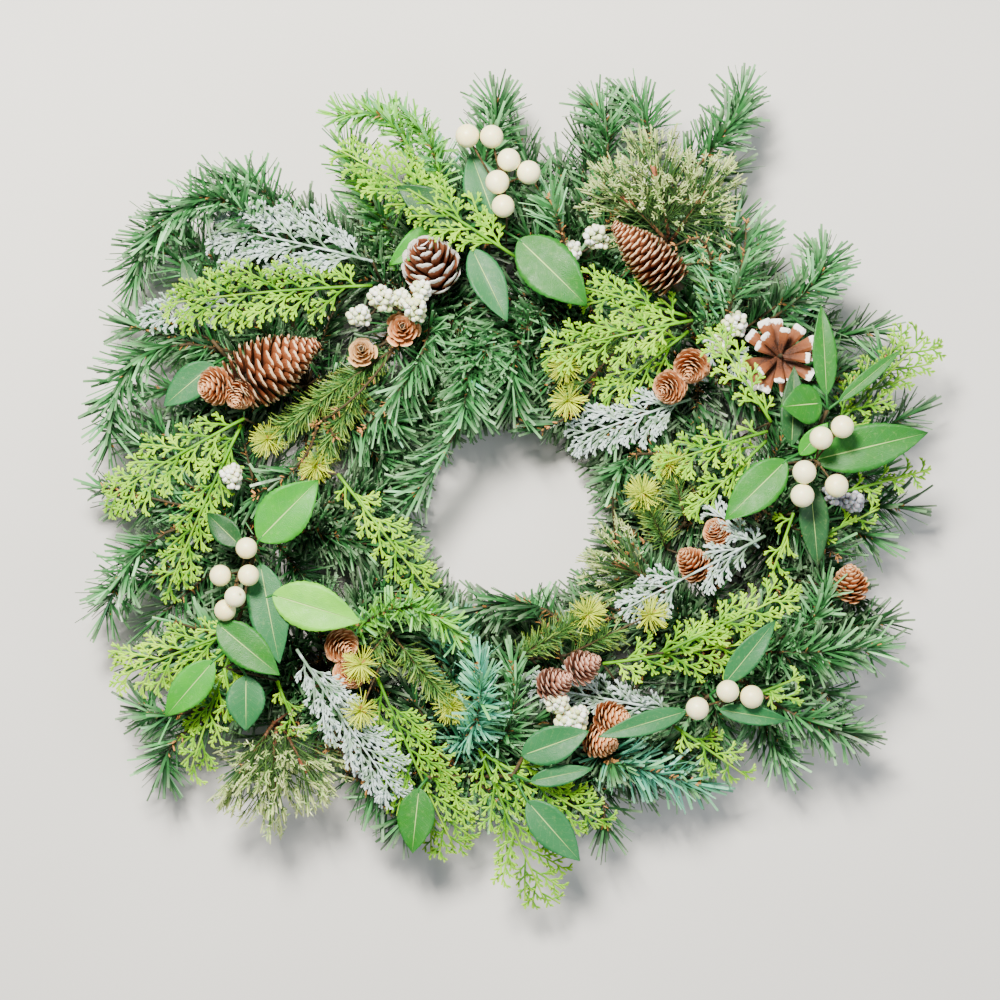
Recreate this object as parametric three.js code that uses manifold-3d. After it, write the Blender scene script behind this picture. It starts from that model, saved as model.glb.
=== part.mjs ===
// A mixed evergreen wreath, 610 mm across, lying on its back with its front up. Millimetres, +Z up.
// X runs to the right of the wreath and Y to its top, from the middle of the wire ring. Z is height.
// Pine bunches are wound on the ring, and every other pick hangs on it by a wire hook of its own.
import * as THREE from "three";
import { mergeVertices } from "three/addons/utils/BufferGeometryUtils.js";
import Module from "manifold-3d";

const wasm = await Module();
wasm.setup();

// ---- Ring, collars and hooks -------------------------------------------------------------------
const RING_RADIUS = 178; // to the middle of the wire
const RING_SEGMENTS = 30; // straight lengths of it
const LENGTH_PLACES = 6; // places for a hook on each length
const RING_WIRE = 2.9; // of the six-sided wire, over its corners
const TOUCH_GAP = 0.3; // between pieces that touch
const COLLAR_RADIUS = 6.4; // of the wound stem wires, over the corners of the six-sided collar
const COLLAR_LENGTH = 15;
const COLLAR_WALL = (COLLAR_RADIUS + RING_WIRE) / 2; // where branches root, from the middle of the wire
const ROOT_STEP = 3.9; // between their roots along the collar
const RING_HEIGHT = COLLAR_RADIUS * Math.cos(Math.PI / 6); // the collars' flats lie on the table
const PICK_WIRE = 0.8;
const THREAD = 0.4; // of the wire between the fronds of one spray, thinner than they are
const HOOK_REACH = RING_WIRE + TOUCH_GAP + PICK_WIRE;
const HOOK_TOP = 9; // where a hook begins above the middle of the ring
const PLACES = LENGTH_PLACES * RING_SEGMENTS;
const PINE_PLACES = 3 * LENGTH_PLACES; // from one pine bunch to the next
const FIRST_COLLAR = 1; // its place; a collar also covers the places beside its own
const HOLE_RADIUS = 58; // nothing grows nearer to the middle than this
const LOWEST = 0.7; // nor lower than this

// ---- Needles -----------------------------------------------------------------------------------
// A whorl is a short band of a three-sided stem with each of its six facets raised to a point.
const WHORL = 2.2; // length of that band
const NEEDLE_GAP = 0.2; // from a needle to any other piece
const SISTER_GAP = 2; // between the middles of two needles of one bunch
const STEM_GAP = 2.8; // from the middle of a needle to the middle of another stem
const PINE = { stem: 1.5, needle: 28, step: 28, bare: 24, lean: 47 };
const FRONT_PINE = { stem: 1.5, needle: 28, step: 24, bare: 34, lean: 47 };
const SPRUCE = { stem: 1.4, needle: 15, step: 23, bare: 12, lean: 50, star: [7, 2.4] };
const BRANCHING = {
  outer: { angle: 30, arch: 10, kind: PINE },
  inner: { angle: 150, arch: 10, kind: PINE },
  front: { angle: 90, arch: 6, kind: FRONT_PINE },
};
const LONG_TUFT = { stem: 1.6, needle: 46, step: 12, bare: 10, lean: 33 };
const STAR_LEAN = 70; // of the yellow needles at a spruce tip
const STEM_TWIST = 23; // degrees that a stem turns from one ring to the next between whorls
const STEM_TAPER = 0.35; // how much thinner a stem is at its tip
const SWAY = { lean: 9, leanPace: 2.4, length: 0.08, lengthPace: 1.7 }; // how needles differ in turn
const TIP_ARCH = 5; // of the stems of spruce tips and tufts
// What a needle tries, in turn, until it is clear: degrees round the stem, of lean, share of length.
const BENDS = [
  [0, 0, 1],
  [20, 0, 1],
  [-20, 0, 1],
  [0, -17, 1],
  [0, 17, 1],
  [32, -10, 1],
  [-32, -10, 1],
  [0, 0, 0.7],
  [24, 0, 0.7],
  [-24, 0, 0.7],
  [0, -24, 0.7],
];

// ---- Pine bunches: tips of the branches of each, and the places on the ring they are wound on ------
// In each: `outer` tips along the rim, `inner` tips round the hole and `front` tips over the face.
const PINE_BUNCHES = [
  {
    outer: [[283, 5, 40], [288, 72, 45]],
    inner: [[88, 20, 48]],
    front: [[232, -32, 74]],
  },
  {
    outer: [[262, 133, 38], [224, 162, 44], [182, 196, 42]],
    inner: [[70, 56, 48]],
    front: [[195, 150, 78]],
  },
  {
    outer: [[163, 286, 50], [116, 244, 40], [75, 290, 45]],
    inner: [[42, 80, 46]],
    front: [[150, 178, 82]],
  },
  {
    outer: [[-7, 292, 46], [-50, 256, 36], [-118, 262, 56], [-158, 222, 46]],
    inner: [[-2, 90, 46]],
    front: [[-14, 112, 74]],
  },
  {
    outer: [[-200, 218, 40], [-250, 192, 46], [-266, 138, 36]],
    inner: [[-46, 78, 48]],
    front: [[-84, 62, 72], [-124, 52, 78]],
  },
  {
    outer: [[-277, 62, 40], [-282, 12, 32], [-284, -56, 40]],
    inner: [[-90, 14, 46]],
    front: [[-238, 24, 68]],
  },
  {
    outer: [[-262, -104, 34], [-244, -152, 42], [-192, -182, 30]],
    inner: [[-78, -46, 44]],
    front: [[-238, -78, 66]],
  },
  {
    outer: [[-92, -202, 42], [-34, -212, 32]],
    inner: [[-38, -84, 48]],
    front: [[-130, -168, 66], [-18, -142, 78]],
  },
  {
    outer: [[45, -208, 34], [92, -194, 44], [130, -190, 38]],
    inner: [[14, -90, 46]],
    front: [[72, -178, 72]],
  },
  {
    outer: [[196, -178, 40], [240, -156, 46], [266, -78, 42]],
    inner: [[60, -64, 46], [88, -22, 42]],
    front: [[226, -106, 72]],
  },
];

// ---- Cones: stem end, far end, width, rows of scales, scales in a row, how far they stand out -------
const CONES = {
  cone_long_left: [
    { from: [-203, 84, 82], to: [-134, 120, 84], width: 40, rows: 7, around: 8, flare: 5 },
    { from: [-207, 92, 84], to: [-217, 86, 92], width: 18, rows: 3, around: 5, flare: 4 },
  ],
  cone_white_tipped: [
    { from: [-50, 158, 70], to: [-62, 192, 104], width: 36, rows: 5, around: 7, flare: 6 },
  ],
  cone_pair_rosette: [
    { from: [-76, 128, 74], to: [-76, 130, 92], width: 18, rows: 3, around: 7, flare: 6 },
    { from: [-105, 112, 72], to: [-105, 114, 92], width: 16, rows: 3, around: 5, flare: 4 },
  ],
  cone_brown_top: [
    { from: [122, 158, 76], to: [72, 204, 88], width: 26, rows: 6, around: 7, flare: 5 },
  ],
  cone_open_right: [
    { from: [191, 110, 62], to: [191, 109, 92], width: 24, rows: 3, around: 8, flare: 17 },
  ],
  cone_pair_right: [
    { from: [132, 110, 66], to: [125, 94, 84], width: 19, rows: 3, around: 5, flare: 4 },
    { from: [120, 92, 62], to: [106, 84, 80], width: 18, rows: 3, around: 5, flare: 4 },
  ],
  cone_pair_inner: [
    { from: [138, -46, 66], to: [120, -28, 82], width: 17, rows: 3, around: 5, flare: 4 },
    { from: [149, -20, 64], to: [143, -8, 80], width: 13, rows: 3, around: 5, flare: 4 },
  ],
  cone_orange_right: [
    { from: [242, -64, 62], to: [240, -38, 76], width: 18, rows: 3, around: 5, flare: 5 },
  ],
  cone_twins: [
    { from: [20, -128, 78], to: [43, -116, 90], width: 19, rows: 3, around: 5, flare: 3.5 },
    { from: [40, -116, 76], to: [63, -104, 88], width: 19, rows: 3, around: 5, flare: 3.5 },
  ],
  cone_pair_lower: [
    { from: [60, -148, 66], to: [84, -145, 78], width: 19, rows: 3, around: 5, flare: 4 },
    { from: [52, -160, 64], to: [76, -166, 74], width: 17, rows: 3, around: 5, flare: 4 },
  ],
  cone_pair_lower_left: [
    { from: [-124, -92, 66], to: [-112, -100, 82], width: 19, rows: 3, around: 5, flare: 4 },
    { from: [-114, -116, 64], to: [-112, -112, 80], width: 17, rows: 3, around: 5, flare: 4 },
  ],
};

// ---- Bunches of small pale berries, each a ball with raised bumps -----------------------------------
const BERRY_CLUSTERS = {
  berry_cluster_upper_left: [
    { from: [-91, 148, 88], to: [-90, 148, 106], width: 18, rows: 3, around: 6, flare: 3 },
    { from: [-68, 138, 90], to: [-64, 142, 112], width: 17, rows: 3, around: 6, flare: 3 },
    { from: [-104, 136, 86], to: [-108, 136, 104], width: 15, rows: 3, around: 6, flare: 3 },
  ],
  berry_cluster_top: [
    { from: [62, 194, 66], to: [61, 196, 86], width: 18, rows: 3, around: 6, flare: 3 },
    { from: [46, 186, 66], to: [42, 187, 80], width: 12, rows: 3, around: 6, flare: 2.5 },
  ],
  berry_cluster_right: [
    { from: [160, 132, 66], to: [161, 134, 84], width: 17, rows: 3, around: 6, flare: 3 },
    { from: [150, 120, 64], to: [149, 118, 80], width: 13, rows: 3, around: 6, flare: 2.5 },
  ],
  berry_cluster_left: [
    { from: [-197, 24, 68], to: [-196, 24, 84], width: 16, rows: 3, around: 6, flare: 3 },
  ],
};

// ---- Cream berries on forked stalks -----------------------------------------------------------------
const CREAM_BERRY = 8.1; // radius
const CREAM_SPRAYS = {
  cream_berries_top: {
    heart: [-2, 214, 92],
    berries: [[-30, 261, 110], [-13, 260, 112], [-1, 243, 114], [13, 235, 110], [-9, 227, 116],
      [-5, 210, 116]],
  },
  cream_berries_right: {
    heart: [212, 34, 100],
    berries: [[229, 55, 122], [214, 47, 124], [203, 24, 118], [202, 8, 114], [226, 15, 112]],
  },
  cream_berries_left: {
    heart: [-188, -40, 84],
    berries: [[-183, -28, 106], [-201, -47, 106], [-181, -47, 110], [-190, -62, 112],
      [-198, -71, 102]],
  },
  cream_berries_lower_right: {
    heart: [148, -138, 78],
    berries: [[168, -131, 94], [151, -127, 98], [130, -139, 96]],
  },
};

// ---- Leafy sprigs: a stem from the heart, and leaves from stalk end to tip ----------------------------
const LEAFY_SPRIGS = {
  leafy_sprig_top: {
    stem: [[-14, 196, 80], [-12, 202, 88]],
    leaves: [
      { from: [6, 191, 92], to: [54, 143, 96], width: 38 },
      { from: [-27, 184, 93], to: [-2, 131, 100], width: 24 },
      { from: [-34, 200, 88], to: [-80, 228, 88], width: 24 },
      { from: [-12, 209, 90], to: [-28, 253, 88], width: 28 },
    ],
  },
  leafy_sprig_right: {
    stem: [[206, 30, 80], [208, 42, 90], [223, 70, 92]],
    leaves: [
      { from: [212, 34, 97], to: [292, 53, 100], width: 32 },
      { from: [193, 34, 97], to: [150, -8, 94], width: 29 },
      { from: [210, 19, 92], to: [216, -41, 86], width: 21 },
      { from: [222, 80, 94], to: [218, 143, 100], width: 17 },
      { from: [218, 74, 98], to: [188, 70, 110], width: 28 },
      { from: [198, 45, 88], to: [200, 101, 90], width: 18 },
      { from: [231, 76, 90], to: [276, 113, 90], width: 10 },
    ],
  },
  leafy_sprig_left: {
    stem: [[-180, -30, 82], [-188, -70, 86], [-198, -98, 86]],
    leaves: [
      { from: [-176, -22, 94], to: [-134, 20, 98], width: 35 },
      { from: [-166, -60, 94], to: [-104, -79, 96], width: 33 },
      { from: [-175, -38, 90], to: [-161, -108, 90], width: 28 },
      { from: [-204, -80, 96], to: [-160, -116, 98], width: 27 },
      { from: [-207, -106, 90], to: [-241, -145, 84], width: 25 },
      { from: [-185, -116, 84], to: [-185, -155, 80], width: 27 },
      { from: [-190, -25, 84], to: [-214, -2, 80], width: 18 },
    ],
  },
  leafy_sprig_lower_right: {
    stem: [[136, -134, 72], [140, -130, 80]],
    leaves: [
      { from: [123, -141, 86], to: [61, -159, 92], width: 16 },
      { from: [146, -140, 84], to: [196, -148, 86], width: 14 },
      { from: [150, -122, 84], to: [186, -77, 90], width: 18 },
    ],
  },
  leafy_sprig_bottom: {
    stem: [[10, -172, 68], [2, -186, 74], [-56, -188, 70]],
    leaves: [
      { from: [8, -172, 84], to: [55, -155, 88], width: 26 },
      { from: [14, -190, 80], to: [58, -181, 82], width: 14 },
      { from: [12, -204, 76], to: [49, -246, 72], width: 26 },
      { from: [-64, -195, 72], to: [-69, -241, 68], width: 26 },
    ],
  },
  leafy_sprig_upper_left: {
    stem: [[-204, 112, 56], [-214, 124, 60]],
    leaves: [
      { from: [-212, 106, 64], to: [-248, 76, 60], width: 24 },
      { from: [-222, 142, 62], to: [-236, 184, 58], width: 15 },
    ],
  },
};

// ---- Cut fronds: from stem to tip, and how far the side sprigs reach ----------------------------------
const CEDAR_SPRAYS = {
  cedar_top: [{ from: [4, 178, 94], to: [-127, 267, 86], reach: 36, sprigs: 6 }],
  cedar_left_upper: [{ from: [-98, 160, 80], to: [-246, 150, 62], reach: 34, sprigs: 6 }],
  cedar_left: [
    { from: [-189, 66, 72], to: [-288, 10, 58], reach: 28, sprigs: 5 },
    { from: [-192, 62, 64], to: [-246, -58, 50], reach: 24, sprigs: 4 },
  ],
  cedar_left_lower: [
    { from: [-192, -84, 70], to: [-276, -116, 60], reach: 30, sprigs: 5 },
    { from: [-194, -88, 62], to: [-228, -186, 52], reach: 24, sprigs: 4 },
  ],
  cedar_bottom_left: [{ from: [-94, -118, 66], to: [-40, -238, 52], reach: 38, sprigs: 6 }],
  cedar_bottom: [
    { from: [-22, -168, 58], to: [25, -277, 46], reach: 32, sprigs: 5 },
    { from: [-18, -172, 66], to: [68, -222, 58], reach: 22, sprigs: 4 },
  ],
  cedar_lower_right: [
    { from: [66, -108, 66], to: [166, -94, 70], reach: 26, sprigs: 5 },
    { from: [108, -100, 80], to: [202, -56, 74], reach: 22, sprigs: 4 },
  ],
  cedar_upper_right: [{ from: [222, 52, 72], to: [298, 130, 62], reach: 32, sprigs: 5 }],
  cedar_centre_right: [
    { from: [130, 136, 74], to: [27, 112, 80], reach: 28, sprigs: 5 },
    { from: [126, 140, 66], to: [36, 164, 70], reach: 20, sprigs: 4 },
    { from: [128, 130, 60], to: [66, 80, 58], reach: 20, sprigs: 4 },
  ],
  cedar_right: [
    { from: [184, 62, 86], to: [142, 126, 86], reach: 24, sprigs: 4 },
    { from: [182, 56, 79], to: [104, 32, 79], reach: 20, sprigs: 4 },
    { from: [182, 50, 72], to: [128, -2, 72], reach: 18, sprigs: 4 },
  ],
  cedar_inner_left: [{ from: [-122, 26, 76], to: [-58, -56, 60], reach: 22, sprigs: 4 }],
};
const JUNIPER_SPRAYS = {
  frosted_juniper_upper_left: [
    { from: [-98, 178, 76], to: [-208, 204, 66], reach: 38, sprigs: 6 },
  ],
  frosted_juniper_centre: [{ from: [130, 82, 54], to: [48, 54, 48], reach: 24, sprigs: 4 }],
  frosted_juniper_right: [{ from: [180, -18, 78], to: [80, -70, 76], reach: 22, sprigs: 4 }],
  frosted_juniper_lower_left: [
    { from: [-150, -98, 80], to: [-80, -200, 68], reach: 28, sprigs: 5 },
  ],
  frosted_juniper_bottom: [{ from: [118, -142, 54], to: [8, -122, 52], reach: 20, sprigs: 4 }],
};

// ---- Spruce tips with a yellow star at the end, and frosted tufts of long needles ---------------------
const SPRUCE_TIPS = {
  spruce_upper_left: [
    { from: [-84, 116, 66], to: [-172, 52, 64] },
    { from: [-104, 96, 64], to: [-138, 34, 62] },
  ],
  spruce_top: [
    { from: [88, 132, 58], to: [40, 104, 66] },
    { from: [84, 124, 56], to: [42, 80, 62] },
  ],
  spruce_right: [
    { from: [112, -26, 54], to: [94, 12, 74] },
    { from: [126, -6, 54], to: [114, 32, 68] },
  ],
  spruce_lower: [
    { from: [2, -106, 68], to: [54, -74, 84] },
    { from: [40, -102, 66], to: [98, -74, 82] },
  ],
  spruce_lower_left: [
    { from: [-84, -84, 70], to: [-104, -108, 88] },
    { from: [-80, -92, 66], to: [-42, -138, 72] },
    { from: [-88, -100, 66], to: [-104, -140, 86] },
  ],
};
const LONG_NEEDLE_TUFTS = {
  frosted_tuft_top: [
    { from: [112, 196, 62], to: [84, 220, 78] },
    { from: [114, 200, 62], to: [104, 240, 76] },
    { from: [118, 198, 62], to: [136, 222, 78] },
  ],
  frosted_tuft_lower_left: [
    { from: [-168, -150, 58], to: [-186, -180, 64] },
    { from: [-166, -154, 58], to: [-168, -192, 62] },
    { from: [-162, -152, 58], to: [-146, -178, 66] },
  ],
  frosted_tuft_inner: [{ from: [106, -52, 50], to: [80, -38, 58] }],
};

// ---- Finishes -----------------------------------------------------------------------------------------
const FINISHES = {
  ring: { color: 0x2f4a38, roughness: 0.45, metalness: 0.6 },
  pine: { color: 0x2c6b45, roughness: 0.55, metalness: 0 },
  bright_pine: { color: 0x6aa636, roughness: 0.55, metalness: 0 },
  cedar: { color: 0x8fb83a, roughness: 0.6, metalness: 0 },
  frost: { color: 0xb9cdc9, roughness: 0.8, metalness: 0 },
  leaf: { color: 0x3c7a3c, roughness: 0.5, metalness: 0 },
  cream: { color: 0xf0e9c8, roughness: 0.35, metalness: 0 },
  pale_berry: { color: 0xd5dcc4, roughness: 0.7, metalness: 0 },
  cone: { color: 0x6b3d22, roughness: 0.75, metalness: 0 },
  spruce: { color: 0x5f7a2c, roughness: 0.6, metalness: 0 },
  tuft: { color: 0x9aa77a, roughness: 0.7, metalness: 0 },
};

const UP = new THREE.Vector3(0, 0, 1);
const SIDEWAYS = new THREE.Vector3(1, 0, 0);
const radians = THREE.MathUtils.degToRad;
const point = (xyz) => new THREE.Vector3(...xyz);
const ahead = (from, to, share) => point(from).lerp(point(to), share).toArray();

// ---- Solids -------------------------------------------------------------------------------------------

/** A closed geometry as a solid, with its shared corners merged and its faces turned outwards. */
function solidOf(geometry) {
  const bare = geometry.clone();
  bare.deleteAttribute("normal");
  bare.deleteAttribute("uv");
  const welded = mergeVertices(bare, 1e-4);
  const make = (triVerts) =>
    new wasm.Manifold(
      new wasm.Mesh({
        numProp: 3,
        vertProperties: new Float32Array(welded.attributes.position.array),
        triVerts,
      }),
    );
  const corners = new Uint32Array(welded.index.array);
  const solid = make(corners);
  return solid.volume() < 0 ? make(corners.reverse()) : solid;
}

/** A solid as a geometry that can be drawn. */
function geometryOf(solid) {
  const mesh = solid.getMesh();
  const geometry = new THREE.BufferGeometry();
  geometry.setAttribute("position", new THREE.BufferAttribute(mesh.vertProperties, 3));
  geometry.setIndex(new THREE.BufferAttribute(mesh.triVerts, 1));
  const facets = geometry.toNonIndexed();
  facets.computeVertexNormals();
  return facets;
}

const joined = (solids) => solids.reduce((all, solid) => all.add(solid));

/** Indexed triangles as a geometry. */
function trianglesOf(corners, triangles) {
  const geometry = new THREE.BufferGeometry();
  geometry.setAttribute("position", new THREE.Float32BufferAttribute(corners.flat(), 3));
  geometry.setIndex(triangles.flat());
  return geometry;
}

// ---- Stems --------------------------------------------------------------------------------------------

const ROOT = -1; // the closing facet at the foot of a stem
const TIP = -2; // and the one at its tip

/** Frames along a line of points: where each is, which way the line runs, and two sides square to it. */
function framesOf(points) {
  let side = null;
  return points.map((at, i) => {
    const before = points[Math.max(i - 1, 0)];
    const after = points[Math.min(i + 1, points.length - 1)];
    const along = after.clone().sub(before).normalize();
    if (!side) side = (Math.abs(along.z) > 0.9 ? SIDEWAYS : UP).clone().cross(along);
    side = side.clone().addScaledVector(along, -side.dot(along)).normalize();
    return { at, along, side, across: new THREE.Vector3().crossVectors(along, side) };
  });
}

/** Corners and triangles of a closed three-sided stem, each ring turned a little from the last. */
function stemLattice(points, radii, turns) {
  const frames = framesOf(points);
  const bands = points.length - 1;
  const unit = new THREE.CylinderGeometry(1, 1, 1, 3, bands, true);
  unit.deleteAttribute("normal");
  unit.deleteAttribute("uv");
  const welded = mergeVertices(unit);
  const position = welded.attributes.position;
  const rings = [];
  const corners = [];
  for (let i = 0; i < position.count; i++) {
    const ring = Math.round((0.5 - position.getY(i)) * bands);
    const { at, side, across } = frames[ring];
    const flat = new THREE.Vector2(position.getX(i), position.getZ(i)).rotateAround(
      new THREE.Vector2(),
      -turns[ring],
    );
    const corner = at.clone().addScaledVector(side, radii[ring] * flat.x);
    corners.push(corner.addScaledVector(across, radii[ring] * flat.y));
    rings.push(ring);
  }
  const index = welded.index.array;
  const triangles = [];
  for (let i = 0; i < index.length; i += 3) {
    const trio = [index[i], index[i + 1], index[i + 2]];
    triangles.push({ trio, band: Math.min(...trio.map((corner) => rings[corner])) });
  }
  // The two ends: the edges of the first and last bands, closed with a facet each.
  for (const end of [0, bands]) {
    const onEnd = (corner) => rings[corner] === end;
    const inBand = triangles.find(({ trio }) => trio.filter(onEnd).length === 2);
    const [a, b] = [0, 1, 2]
      .map((i) => [inBand.trio[i], inBand.trio[(i + 1) % 3]])
      .find((edge) => edge.every(onEnd));
    const c = rings.findIndex((_, corner) => onEnd(corner) && corner !== a && corner !== b);
    triangles.push({ trio: [b, a, c], band: end ? TIP : ROOT });
  }
  return { frames, corners, triangles };
}

/** A plain stem or wire through a few points. */
function wireSolid(points, radius) {
  const { corners, triangles } = stemLattice(
    points,
    points.map(() => radius),
    points.map(() => 0),
  );
  return solidOf(trianglesOf(corners.map((c) => c.toArray()), triangles.map((t) => t.trio)));
}

/** The gently arched line of a branch, as a curve. */
function branchCurve(from, to, arch) {
  const start = point(from);
  const end = point(to);
  const middle = start.clone().lerp(end, 0.5).addScaledVector(UP, arch);
  return new THREE.CatmullRomCurve3([start, middle, end]);
}

/** The stops along a needled stem: a bare root, then whorls, and the lean of each whorl's needles. */
function whorlStops(length, kind) {
  const stops = [0];
  const whorls = new Map();
  const star = (kind.star ?? []).map((back) => length - back);
  const last = star.length ? star[0] - kind.step / 2 : length - WHORL;
  const plain = [];
  for (let at = kind.bare; at < last; at += kind.step) plain.push(at);
  for (const at of [...plain, ...star]) {
    whorls.set(stops.length, star.includes(at) ? STAR_LEAN : kind.lean);
    stops.push(at, at + WHORL);
  }
  if (length > stops.at(-1) + 0.5) stops.push(length);
  return { stops, whorls };
}

/** Where a needle's point goes: out of its facet, leaning to the tip, swung and shortened by a bend. */
function needleTip(base, frame, lean, length, [swing, more, share]) {
  const centre = base[0].clone().add(base[1]).add(base[2]).divideScalar(3);
  const out = centre.clone().sub(frame.at);
  out.addScaledVector(frame.along, -out.dot(frame.along)).normalize();
  out.applyAxisAngle(frame.along, radians(swing));
  const angle = radians(lean + more);
  const way = out.multiplyScalar(Math.sin(angle)).addScaledVector(frame.along, Math.cos(angle));
  return { tip: centre.clone().addScaledVector(way, length * share), root: centre };
}

/** One needle as a solid of its own, to be tried for clearance. */
function needleProbe(base, tip) {
  const corners = [...base, tip].map((corner) => corner.toArray());
  return solidOf(trianglesOf(corners, [[0, 1, 3], [1, 2, 3], [2, 0, 3], [0, 2, 1]]));
}

/**
 * A stem set with needles. Each needle is a facet of a whorl raised to a point, and is bent, shortened or
 * left out where it would meet another piece or another needle.
 */
function needledStem(curve, kind, own, sisters, branch) {
  const length = curve.getLength();
  const { stops, whorls } = whorlStops(length, kind);
  const points = stops.map((stop) => curve.getPointAt(Math.min(stop / length, 1)));
  let turn = 0;
  const turns = stops.map((stop, ring) => {
    turn += ring && whorls.has(ring - 1) ? Math.PI / 3 : radians(STEM_TWIST);
    return turn;
  });
  const radii = stops.map((stop) => kind.stem * (1 - (STEM_TAPER * stop) / length));
  const { frames, corners, triangles } = stemLattice(points, radii, turns);
  const kept = [];
  let count = 0;
  for (const { trio, band } of triangles) {
    const base = trio.map((corner) => corners[corner]);
    const lean = band === TIP ? 0 : whorls.get(band);
    const frame = frames[band === TIP ? frames.length - 1 : band];
    const near = { own, sisters, branch };
    const tip = lean === undefined ? null : clearNeedle(base, frame, kind, lean, count++, near);
    if (!tip) {
      kept.push(trio);
      continue;
    }
    const [a, b, c] = trio;
    const top = corners.push(tip) - 1;
    kept.push([a, b, top], [b, c, top], [c, a, top]);
  }
  return solidOf(trianglesOf(corners.map((corner) => corner.toArray()), kept));
}

/** The first tip in the list of bends that is clear of everything, or null. */
function clearNeedle(base, frame, kind, upright, count, { own, sisters, branch }) {
  const lean = upright + (upright ? SWAY.lean : 0) * Math.sin(SWAY.leanPace * count);
  const length = kind.needle * (0.94 + SWAY.length * Math.sin(SWAY.lengthPace * count));
  for (const bend of BENDS) {
    const { tip, root } = needleTip(base, frame, lean, length, bend);
    if (tip.z < LOWEST || Math.hypot(tip.x, tip.y) < HOLE_RADIUS) continue;
    const line = new THREE.Line3(root.clone().lerp(tip, 0.2), tip);
    const whole = new THREE.Line3(root, tip);
    const meets = ({ line: other, gap, stemOf }) =>
      stemOf !== branch && (stemOf === undefined ? line : whole).distanceSqToLine3(other) < gap ** 2;
    if (sisters.some(meets)) continue;
    if (!isClear(needleProbe(base, tip), NEEDLE_GAP, own)) continue;
    sisters.push({ line, gap: SISTER_GAP });
    return tip;
  }
  return null;
}

// ---- Where everything is ------------------------------------------------------------------------------
const placed = new Map(); // every solid that stands so far, by name

/** Whether a solid keeps its distance from every other piece. */
function isClear(solid, gap, own) {
  const box = solid.boundingBox();
  for (const [name, other] of placed) {
    if (name === own || boxesApart(box, other.box, gap)) continue;
    if (solid.minGap(other.solid, gap) < gap) return false;
  }
  return true;
}

const boxesApart = (a, b, gap) =>
  [0, 1, 2].some((i) => a.min[i] > b.max[i] + gap || b.min[i] > a.max[i] + gap);
const place = (name, solid) => placed.set(name, { solid, box: solid.boundingBox() });

/** A place on the ring: the middle of the wire there, and which way is outwards and along it. */
function ringPlace(index) {
  const angle = ((Math.floor(index / LENGTH_PLACES) + 0.5) * 2 * Math.PI) / RING_SEGMENTS;
  const out = new THREE.Vector3(Math.cos(angle), Math.sin(angle), 0);
  const along = new THREE.Vector3(-out.y, out.x, 0);
  const flat = RING_RADIUS * Math.cos(Math.PI / RING_SEGMENTS);
  const pitch = (2 * RING_RADIUS * Math.sin(Math.PI / RING_SEGMENTS)) / LENGTH_PLACES;
  const offset = pitch * ((index % LENGTH_PLACES) - (LENGTH_PLACES - 1) / 2);
  const at = out.clone().multiplyScalar(flat).addScaledVector(along, offset);
  at.z = RING_HEIGHT;
  return { at, out, along };
}

/** The six-sided wire ring. */
function ringSolid() {
  const profile = [];
  for (let i = 0; i <= 6; i++) {
    const angle = (i * Math.PI) / 3;
    profile.push(new THREE.Vector2(RING_RADIUS + RING_WIRE * Math.cos(angle), RING_WIRE * Math.sin(angle)));
  }
  const ring = new THREE.LatheGeometry(profile, RING_SEGMENTS);
  ring.rotateX(Math.PI / 2);
  ring.rotateZ(Math.PI / 2);
  ring.translate(0, 0, RING_HEIGHT);
  return solidOf(ring);
}

/** The wound wires of a pine bunch, a six-sided sleeve round the ring with a flat below. */
function collarSolid(index) {
  const hexagon = (radius, Path) => {
    const outline = new Path();
    for (let i = 0; i < 6; i++) {
      const angle = (i * Math.PI) / 3;
      const [x, y] = [radius * Math.cos(angle), radius * Math.sin(angle)];
      if (i) outline.lineTo(x, y);
      else outline.moveTo(x, y);
    }
    outline.closePath();
    return outline;
  };
  const section = hexagon(COLLAR_RADIUS, THREE.Shape);
  section.holes.push(hexagon(RING_WIRE + TOUCH_GAP / Math.cos(Math.PI / 6), THREE.Path));
  const sleeve = new THREE.ExtrudeGeometry(section, { depth: COLLAR_LENGTH, bevelEnabled: false });
  sleeve.translate(0, 0, -COLLAR_LENGTH / 2);
  const { at, out, along } = ringPlace(index);
  const turned = new THREE.Matrix4().makeBasis(out, UP, along.clone().negate());
  sleeve.applyMatrix4(turned.setPosition(at));
  return solidOf(sleeve);
}

// ---- Pieces of foliage --------------------------------------------------------------------------------

const SCALE_RISE = 0.45; // of a cone's points, as a share of the step between rows
const BUMP_RISE = 0.25; // of a berry bunch's points, away from its middle
const WIRE_AT = { cone: 0.25, tie: 0.3, bunch: 0.35 }; // where wires begin, along a cone or a bunch

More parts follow.
